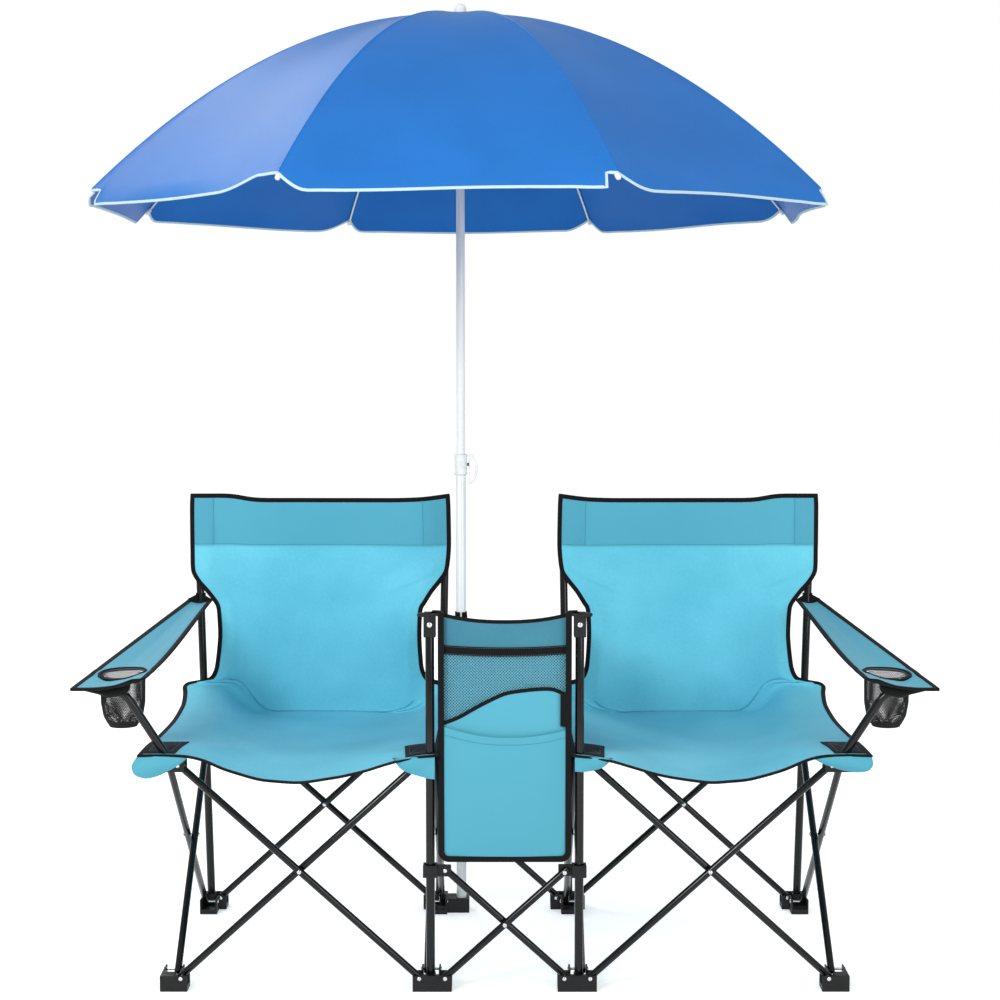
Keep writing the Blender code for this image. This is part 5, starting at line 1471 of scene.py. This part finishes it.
line = np.array([(x, BAG_FRONT - 0.0085, z) for x, z in outline])
ups = np.tile((0.0, -1.0, 0.0), (len(line), 1))
bag_tape("bag_outline_binding", line, ups, width=0.0108, rise=0.0034)

# Straps: a short flat one down the right side, the two that hook on the posts' caps, and the pole's loop
side_strap = [(0.1035, BAG_FRONT - 0.0105, z) for z in np.linspace(0.5400, 0.4800, 12)]
bag_strap("bag_side_strap", side_strap, [(0.0, -1.0, 0.0)] * 12, 0.010)
for side, label in ((-1.0, "left"), (1.0, "right")):
    hook = [(side * x, BAG_FRONT + 0.001, z) for x, z in
            ((0.1090, 0.6830), (0.1150, 0.6845), (0.1210, 0.6850), (0.1290, 0.6850))]
    bag_strap(f"table_{label}_hook_strap", hook, [(0.0, 0.0, 1.0)] * 4, 0.014)
loop_path, loop_ups = [], []
POLE_X, POLE_LOOP_Z = -0.087, 0.6080
for k in range(41):
    turn = math.radians(-80.0 + 340.0 * k / 40)
    out = Vector((math.cos(turn), math.sin(turn), 0.0))
    loop_path.append((POLE_X + out.x * 0.0116, out.y * 0.0116, POLE_LOOP_Z))
    loop_ups.append(tuple(out))
grid = np.stack(
    [np.array(loop_path) + np.array((0.0, 0.0, 0.016 * (k / 4 - 0.5))) for k in range(5)], axis=1
)
bag_sheet("table_pole_loop", grid, grosgrain)
tab = np.zeros((5, 10, 3))
for r in range(5):
    for c in range(10):
        v = c / 9
        tab[r, c] = (
            POLE_X + 0.0085 + 0.004 * math.sin(3 * v), -0.0105 - 0.0250 * v,
            POLE_LOOP_Z + 0.014 * (r / 4 - 0.5) * (1 - 0.5 * v) - 0.0045 * v
        )
bag_sheet("table_pole_loop_tab", tab, grosgrain)
for item in bag_items:
    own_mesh(item)

# Parasol poles
# Two steel tubes in white enamel: the upper one slides in the lower one. A white collar on the lower
# tube carries the pull pin, whose flat D-shaped loop a finger goes through.
LOWER_TOP, LOWER_DIAMETER, UPPER_DIAMETER, POLE_WALL = 0.934, 0.0200, 0.0172, 0.0010
COLLAR_LOW, COLLAR_RADIUS, PIN_Z = 0.892, 0.0135, 0.913


def lathe(name, profile, x, y, sides, finish, body, closed=False):
    """A turned piece: a profile of radius and height spun about an upright axis, smooth but for its edges."""
    rings, points, faces = [], [], []
    for radius, height in profile:
        if radius < 1e-6:
            rings.append([len(points)])
            points.append((x, y, height))
            continue
        rings.append(list(range(len(points), len(points) + sides)))
        for k in range(sides):
            turn = 2 * math.pi * k / sides
            points.append((x + radius * math.cos(turn), y + radius * math.sin(turn), height))
    pairs = list(zip(rings, rings[1:])) + ([(rings[-1], rings[0])] if closed else [])
    for first, second in pairs:
        for k in range(sides):
            a, b = first[k % len(first)], first[(k + 1) % len(first)]
            c, d = second[(k + 1) % len(second)], second[k % len(second)]
            corners = [a, b, c, d]
            faces.append([v for i, v in enumerate(corners) if v not in corners[:i]])
    mesh = bpy.data.meshes.new(name)
    mesh.from_pydata(points, [], faces)
    piece = link(name, mesh)
    face_outwards(piece)
    bpy.ops.object.shade_smooth_by_angle(angle=math.radians(35.0))
    return dress(piece, finish, body)


# White enamel on steel tube: glossy, faintly grey, with the ripple of dried paint
white_enamel, tree, shader = new_material("white_enamel")
place = add(tree, "TexCoord")
ripple = add(tree, "TexNoise", {"Vector": place.outputs["Object"], "Scale": 260.0, "Detail": 2.0})
drawn = add(tree, "Mapping", {"Vector": place.outputs["Object"], "Scale": (90.0, 90.0, 4.0)})
streak = add(tree, "TexNoise", {"Vector": drawn.outputs[0], "Scale": 2.0, "Detail": 6.0})
shade = add(tree, "ValToRGB", {"Fac": streak.outputs["Fac"]}, ((0.3, "#e4e6e4"), (0.8, "#f4f5f3")))
gloss = add(tree, "MapRange", {"Value": streak.outputs["Fac"], "To Min": 0.22, "To Max": 0.36})
bump = add(tree, "Bump", {"Height": ripple.outputs["Fac"], "Strength": 0.08, "Distance": 0.0003})
feed(tree, shader, {
    "Base Color": shade.outputs["Color"], "Roughness": gloss.outputs[0], "Normal": bump.outputs["Normal"],
    "Coat Weight": 0.2, "IOR": 1.5,
})

# White nylon mouldings: softer gloss and a slightly warmer white, a little cloudy inside
white_nylon, tree, shader = new_material("white_nylon")
place = add(tree, "TexCoord")
grain = add(tree, "TexNoise", {"Vector": place.outputs["Object"], "Scale": 520.0, "Detail": 3.0})
cloud = add(tree, "TexNoise", {"Vector": place.outputs["Object"], "Scale": 60.0, "Detail": 2.0})
shade = add(tree, "ValToRGB", {"Fac": cloud.outputs["Fac"]}, ((0.3, "#e2e3df"), (0.75, "#efefec")))
bump = add(tree, "Bump", {"Height": grain.outputs["Fac"], "Strength": 0.12, "Distance": 0.0003})
feed(tree, shader, {
    "Base Color": shade.outputs["Color"], "Normal": bump.outputs["Normal"], "Roughness": 0.42,
    "Subsurface Weight": 0.05, "Subsurface Radius": (0.002, 0.002, 0.002), "IOR": 1.53,
})

outer, bore = LOWER_DIAMETER / 2, LOWER_DIAMETER / 2 - POLE_WALL
profile = [(bore, 0.0046), (outer - 0.0006, 0.0046), (outer, 0.0054), (outer, LOWER_TOP - 0.0040),
           (outer - 0.0004, LOWER_TOP - 0.0034), (bore, LOWER_TOP - 0.0034)]
pole = lathe(
    "lower_pole_tube", profile, POLE_X, 0.0, 48, white_enamel, "lower_pole", closed=True
)
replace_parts(pole, "lower_pole")
low, high = COLLAR_LOW, LOWER_TOP - 0.0006
profile = [(outer + 0.0001, low), (COLLAR_RADIUS - 0.0022, low)]
profile += [
    (COLLAR_RADIUS - 0.0010, low + 0.0006), (COLLAR_RADIUS - 0.0002, low + 0.0020),
    (COLLAR_RADIUS - 0.0002, low + 0.0046), (COLLAR_RADIUS - 0.0010, low + 0.0052),
    (COLLAR_RADIUS - 0.0010, high - 0.0052), (COLLAR_RADIUS - 0.0002, high - 0.0046),
    (COLLAR_RADIUS - 0.0002, high - 0.0016), (COLLAR_RADIUS - 0.0012, high - 0.0003),
    (COLLAR_RADIUS - 0.0030, high), (UPPER_DIAMETER / 2 + 0.0003, high),
    (UPPER_DIAMETER / 2 + 0.0003, high - 0.0020), (outer + 0.0001, high - 0.0026)
]
lathe(
    "lower_pole_collar", profile, POLE_X, 0.0, 48, white_nylon, "lower_pole", closed=True
)
outer, bore = UPPER_DIAMETER / 2, UPPER_DIAMETER / 2 - POLE_WALL
RIB_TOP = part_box("crown")[0][2] - 0.0002
profile = [
    (bore, 0.6742), (outer - 0.0004, 0.6742), (outer, 0.6748), (outer, RIB_TOP - 0.0008),
    (outer - 0.0004, RIB_TOP - 0.0002), (bore, RIB_TOP - 0.0002)
]
pole = lathe(
    "upper_pole_tube", profile, POLE_X, 0.0, 48, white_enamel, "upper_pole", closed=True
)
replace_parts(pole, "upper_pole")

# Pull pin: a steel shank, its round boss, and the flat loop
pin_start = Vector((POLE_X + UPPER_DIAMETER / 2 + 0.0005, 0.0, PIN_Z))
pin_end = Vector((POLE_X + COLLAR_RADIUS + 0.0030, 0.0, PIN_Z))
shank = turned_bar(pin_start, pin_end, 0.0038, 20, 0.0003)
join("lock_pin_shank", [shank], nickel, "pole_lock_pin")
boss = turned_bar(
    (POLE_X + COLLAR_RADIUS - 0.0002, 0.0, PIN_Z), (POLE_X + COLLAR_RADIUS + 0.0026, 0.0, PIN_Z), 0.0070,
    28, 0.0006
)
join("lock_pin_boss", [boss], polypropylene, "pole_lock_pin")
loop_points, loop_faces = [], []
loop_steps, loop_sides = 96, 12
for k in range(loop_steps):
    share = k / loop_steps
    if share < 0.72:
        turn = math.pi * (share / 0.72 - 0.5)
        spot = Vector((0.0155 * math.cos(turn), 0.0, 0.0280 * math.sin(turn)))
        ahead = Vector((-0.0155 * math.sin(turn), 0.0, 0.0280 * math.cos(turn))).normalized()
    else:
        t = (share - 0.72) / 0.28
        spot = Vector((0.0018 * math.sin(math.pi * t), 0.0, 0.0280 - 0.0560 * t))
        ahead = Vector((0.0, 0.0, -1.0))
    spot += Vector((pin_end.x - 0.0006, 0.0, PIN_Z - 0.009))
    aside = Vector((0.0, 1.0, 0.0))
    other = ahead.cross(aside)
    wide = 0.0024 * min(
        1.0, math.sin(math.pi * min(share / 0.72, 1.0)) * 1.6 + 0.5
    ) if share < 0.72 else 0.0012
    for j in range(loop_sides):
        turn = 2 * math.pi * j / loop_sides
        loop_points.append(spot + aside * math.cos(turn) * 0.0013 + other * math.sin(turn) * wide)
for k in range(loop_steps):
    here, there = k * loop_sides, (k + 1) % loop_steps * loop_sides
    for j in range(loop_sides):
        loop_faces.append((here + j, here + (j + 1) % loop_sides, there + (j + 1) % loop_sides, there + j))
mesh = bpy.data.meshes.new("loop")
mesh.from_pydata([tuple(point) for point in loop_points], [], loop_faces)
ring = link("loop", mesh)
loop_piece = join("lock_pin_loop", [ring], white_nylon, "pole_lock_pin")
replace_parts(loop_piece, "pole_lock_pin")

# Crown, runner, ribs and struts
# White nylon hubs: the crown under the cloth with its ferrule above it, and the runner on the pole. The
# eight ribs and struts are enamelled steel wire, with a clip where they meet and a cap at each rib's tip.
RIB_COUNT, FIRST_RIB_TURN = 8, math.radians(201.9)
CANOPY_RADIUS, CANOPY_APEX, CANOPY_DROP, CANOPY_THICKNESS, CANOPY_HOLE = 0.7255, 1.798, 0.357, 0.0016, 0.010
HINGE_RADIUS, STRUT_RADIUS, RIB_DIAMETER, STRUT_DIAMETER = 0.0195, 0.340, 0.0044, 0.0036
BELOW_CLOTH = CANOPY_THICKNESS + 0.0006 + RIB_DIAMETER / 2


def cloth_height(radius):
    return CANOPY_APEX - CANOPY_DROP * (radius / CANOPY_RADIUS) ** 2


def rib_height(radius):
    """Height of a rib's axis, under the crease of the cloth."""
    slope = 2 * CANOPY_DROP * radius / CANOPY_RADIUS ** 2
    return cloth_height(radius) - (BELOW_CLOTH + 0.0004) * math.hypot(1.0, 1.12 * slope)


def rib_directions(number):
    turn = FIRST_RIB_TURN + 2 * math.pi * number / RIB_COUNT
    outwards = Vector((math.cos(turn), math.sin(turn), 0.0))
    return outwards, Vector((-outwards.y, outwards.x, 0.0))


axis = Vector((POLE_X, 0.0, 0.0))
crown_low, crown_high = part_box("crown")
cloth_low = CANOPY_APEX - CANOPY_THICKNESS - 0.0006
profile = [
    (0.0, crown_low[2]), (0.0135, crown_low[2]), (0.0152, crown_low[2] + 0.0008),
    (0.0158, crown_low[2] + 0.0024), (0.0158, crown_low[2] + 0.0052), (0.0130, crown_low[2] + 0.0058),
    (0.0130, crown_low[2] + 0.0082), (0.0158, crown_low[2] + 0.0088), (0.0156, cloth_low - 0.0040),
    (0.0140, cloth_low - 0.0022), (0.0088, cloth_low - 0.0006), (0.0086, CANOPY_APEX + 0.0002),
    (0.0118, CANOPY_APEX + 0.0006), (0.0125, CANOPY_APEX + 0.0016), (0.0125, CANOPY_APEX + 0.0098)
]
profile += [(0.0125 * math.cos(a) ** 0.8, CANOPY_APEX + 0.0098 + 0.0124 * math.sin(a)) for a in
            [math.radians(d) for d in (12, 24, 36, 48, 58, 67, 75, 82)]]
profile.append((0.0, crown_high[2]))
crown = lathe("crown_and_ferrule", profile, POLE_X, 0.0, 56, white_nylon, "upper_pole")
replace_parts(crown, "crown")
runner_low, runner_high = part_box("runner")
runner_pivot = runner_high[2] - 0.0050
bore = UPPER_DIAMETER / 2 + 0.0003
profile = [
    (bore, runner_low[2]), (0.0118, runner_low[2]), (0.0126, runner_low[2] + 0.0010),
    (0.0126, runner_low[2] + 0.0060), (0.0119, runner_low[2] + 0.0070), (0.0119, runner_high[2] - 0.0150),
    (0.0126, runner_high[2] - 0.0125), (0.0150, runner_high[2] - 0.0104), (0.0158, runner_high[2] - 0.0092),
    (0.0158, runner_high[2] - 0.0064), (0.0132, runner_high[2] - 0.0060), (0.0132, runner_high[2] - 0.0040),
    (0.0158, runner_high[2] - 0.0036), (0.0156, runner_high[2] - 0.0006), (0.0148, runner_high[2]),
    (bore, runner_high[2])
]
runner = lathe(
    "runner_sleeve", profile, POLE_X, 0.0, 56, white_nylon, "runner", closed=True
)
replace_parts(runner, "runner")
for body, height, name in (
    ("upper_pole", rib_height(HINGE_RADIUS), "crown_hinge_ring"),
    ("runner", runner_pivot, "runner_hinge_ring"),
):
    ring = [axis + Vector((math.cos(t) * 0.0150, math.sin(t) * 0.0150, height)) for t in
            [2 * math.pi * k / 64 for k in range(65)]]
    join(name, [swept_tube(ring, 0.0014, 8)], nickel, body)

for number in range(RIB_COUNT):
    outwards, aside = rib_directions(number)
    body = f"rib_{number + 1}"
    root = HINGE_RADIUS - RIB_DIAMETER / 2
    reach = CANOPY_RADIUS + 0.0010 - HINGE_RADIUS + RIB_DIAMETER / 2
    radii = [root + reach * k / 40 for k in range(41)]
    path = [axis + outwards * r + Vector((0.0, 0.0, rib_height(r))) for r in radii]
    rib = join(
        f"rib_{number + 1}_wire", [swept_tube(path, RIB_DIAMETER, 12)], white_enamel, body
    )
    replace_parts(rib, f"rib_{number + 1}")
    ahead = (path[-1] - path[-2]).normalized()
    tip = turned_bar(path[-1] - ahead * 0.0060, path[-1] + ahead * 0.0090, 0.0092, 20, 0.0030)
    join(f"rib_{number + 1}_cap", [tip], white_nylon, body)
    # The clip is a sleeve crimped on the rib, with the strut's rivet through its lug
    spot = axis + outwards * STRUT_RADIUS + Vector((0.0, 0.0, rib_height(STRUT_RADIUS)))
    slope = Vector((
        outwards.x, outwards.y, -2 * CANOPY_DROP * STRUT_RADIUS / CANOPY_RADIUS ** 2
    )).normalized()
    clip = turned_bar(
        spot - slope * 0.0080 - Vector((0, 0, 0.0001)), spot + slope * 0.0080 - Vector((0, 0, 0.0001)),
        0.0056, 18, 0.0005
    )
    shift = (RIB_DIAMETER + STRUT_DIAMETER) / 2 + 0.0003
    high = spot - Vector((0.0, 0.0, 0.0011)) + aside * shift
    rivet = turned_bar(high - aside * (shift + 0.0030), high + aside * 0.0028, 0.0022, 14, 0.0004)
    join(f"rib_{number + 1}_clip", [clip, rivet], nickel, body)
    low = axis + outwards * HINGE_RADIUS + Vector((0.0, 0.0, runner_pivot)) + aside * shift
    wire = turned_bar(low, high, STRUT_DIAMETER, 14, 0.0010)
    strut = join(f"strut_{number + 1}_wire", [wire], white_enamel, f"strut_{number + 1}")
    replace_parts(strut, f"strut_{number + 1}")

# Canopy
# Eight gores of blue coated pongee, each one curved sheet that carries on into the hanging valance. They
# are sewn together along the ribs, and a pale tape binds the valance's lower edge and its notched ends.
VALANCE, HEM_PULL = 0.0300, 0.012
GORE_ROWS, GORE_COLUMNS, VALANCE_ROWS = 56, 49, 10
pongee = oxford_cloth("blue_coated_pongee", "#2b77c9", "#276dbb", "#2462aa", 0.7, 0.0, 0.34)
pongee.node_tree.nodes["Principled BSDF"].inputs["IOR"].default_value = 1.13

# Pale tape: white polyester ribbon with a faint blue cast
pale_tape = mottled(
    "pale_blue_ribbon", {"Scale": 900.0, "Detail": 2.0}, ((0.0, "#a6c6d2"), (1.0, "#d0e6ec")),
    {"Roughness": 0.7}
)

# Each gore's valance leaves its two ribs after a flat bit and drops over a slope, in metres along the hem
VALANCE_ENDS = (
    ((0.036, 0.004), (0.060, 0.090)), ((0.0, 0.055), (0.018, 0.004)), ((0.0, 0.080), (0.010, 0.004)),
    ((0.012, 0.060), (0.0, 0.004)), ((0.0, 0.075), (0.0, 0.035)), ((0.0, 0.060), (0.0, 0.030)),
    ((0.0, 0.085), (0.0, 0.035)), ((0.0, 0.045), (0.0, 0.060))
)


def valance_depth(end, away):
    """How deep the valance hangs at a distance from its rib, as a share of its full depth."""
    flat, slope = end
    return 0.14 + 0.86 * (1 - (1 - min(max((away - flat) / slope, 0.0), 1.0)) ** 1.6)


for number in range(RIB_COUNT):
    first_turn = FIRST_RIB_TURN + 2 * math.pi * number / RIB_COUNT
    last_turn = first_turn + 2 * math.pi / RIB_COUNT
    # Columns lie closer together near the ribs, where the valance is cut
    turns = [math.cos(math.pi * k / (GORE_COLUMNS - 1)) for k in range(GORE_COLUMNS)]
    shares = [0.5 - 0.5 * math.copysign(abs(turn) ** 0.8, turn) for turn in turns]
    grid = np.zeros((GORE_ROWS + VALANCE_ROWS, GORE_COLUMNS, 3))
    for c, share in enumerate(shares):
        for r in range(GORE_ROWS):
            ring = r / (GORE_ROWS - 1)
            radius = CANOPY_HOLE + (CANOPY_RADIUS - CANOPY_HOLE) * ring
            start = np.array((math.cos(first_turn), math.sin(first_turn))) * radius
            end = np.array((math.cos(last_turn), math.sin(last_turn))) * radius
            flat = start * (1 - share) + end * share
            reach = np.linalg.norm(flat)
            swell = math.sin(math.pi * share)
            pulled = reach - HEM_PULL * swell * ring
            flat = flat / reach * pulled
            height = cloth_height(radius) - CANOPY_THICKNESS / 2
            # The cloth hangs a little between its ribs and is drawn into small creases at the tips
            height -= 0.004 * swell ** 2 * math.sin(math.pi * ring)
            span = 2 * math.pi / RIB_COUNT * radius
            near = min(share, 1 - share) * span
            crease = math.sin(near / 0.011) * math.exp(-near / 0.045) * max(0.0, (ring - 0.86) / 0.14) ** 2
            height += 0.0016 * crease * swell ** 0.3
            spot = Vector((flat[0] * 3.2, flat[1] * 3.2, number * 5.0))
            height += 0.0018 * noise.noise(spot) * swell * ring
            grid[r, c] = (POLE_X + flat[0], flat[1], height)
        hem = grid[GORE_ROWS - 1, c]
        outward = np.array((hem[0] - POLE_X, hem[1], 0.0))
        outward /= np.linalg.norm(outward)
        span = 2 * CANOPY_RADIUS * math.sin(math.pi / RIB_COUNT)
        depth = VALANCE * valance_depth(VALANCE_ENDS[number][0], share * span)
        depth *= valance_depth(VALANCE_ENDS[number][1], (1 - share) * span)
        depth *= 1 + 0.10 * math.sin(5.0 * share + number)
        slack = math.sin(math.pi * share) ** 0.5
        for r in range(VALANCE_ROWS):
            v = (r + 1) / VALANCE_ROWS
            flutter = 0.0030 * v * math.sin(9.0 * share + 2.1 * number) * slack
            away = depth * (0.92 * v - 0.12 * v ** 2) + flutter
            grid[GORE_ROWS + r, c] = hem + outward * away + np.array((0.0, 0.0, -depth * v - 0.0008 * v))
    body = f"rib_{number + 1}"
    gore = sheet_piece(f"canopy_gore_{number + 1}", grid, CANOPY_THICKNESS, pongee, body)
    if number == 0:
        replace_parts(gore, "canopy")
    normals = grid_normals(grid)
    last = GORE_ROWS + VALANCE_ROWS - 1
    line = grid[last, ::-1]
    ups = normals[last, ::-1]
    trim = binding(
        f"canopy_gore_{number + 1}_tape", line, edge_frame(line, ups, closed=False), ups, pale_tape,
        body, closed=False, width=0.0052, rise=0.0014
    )
    # The felled seam along the rib stands a little proud of the cloth
    outwards, aside = rib_directions(number)
    seam_path = []
    for r in range(1, GORE_ROWS):
        radius = CANOPY_HOLE + (CANOPY_RADIUS - CANOPY_HOLE) * r / (GORE_ROWS - 1)
        seam_path.append(axis + outwards * radius + Vector((0.0, 0.0, cloth_height(radius) - 0.0002)))
    seam = join(
        f"canopy_seam_{number + 1}", [swept_tube(seam_path, 0.0024, 8)], pongee, body
    )
    for item in (gore, trim):
        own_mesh(item)
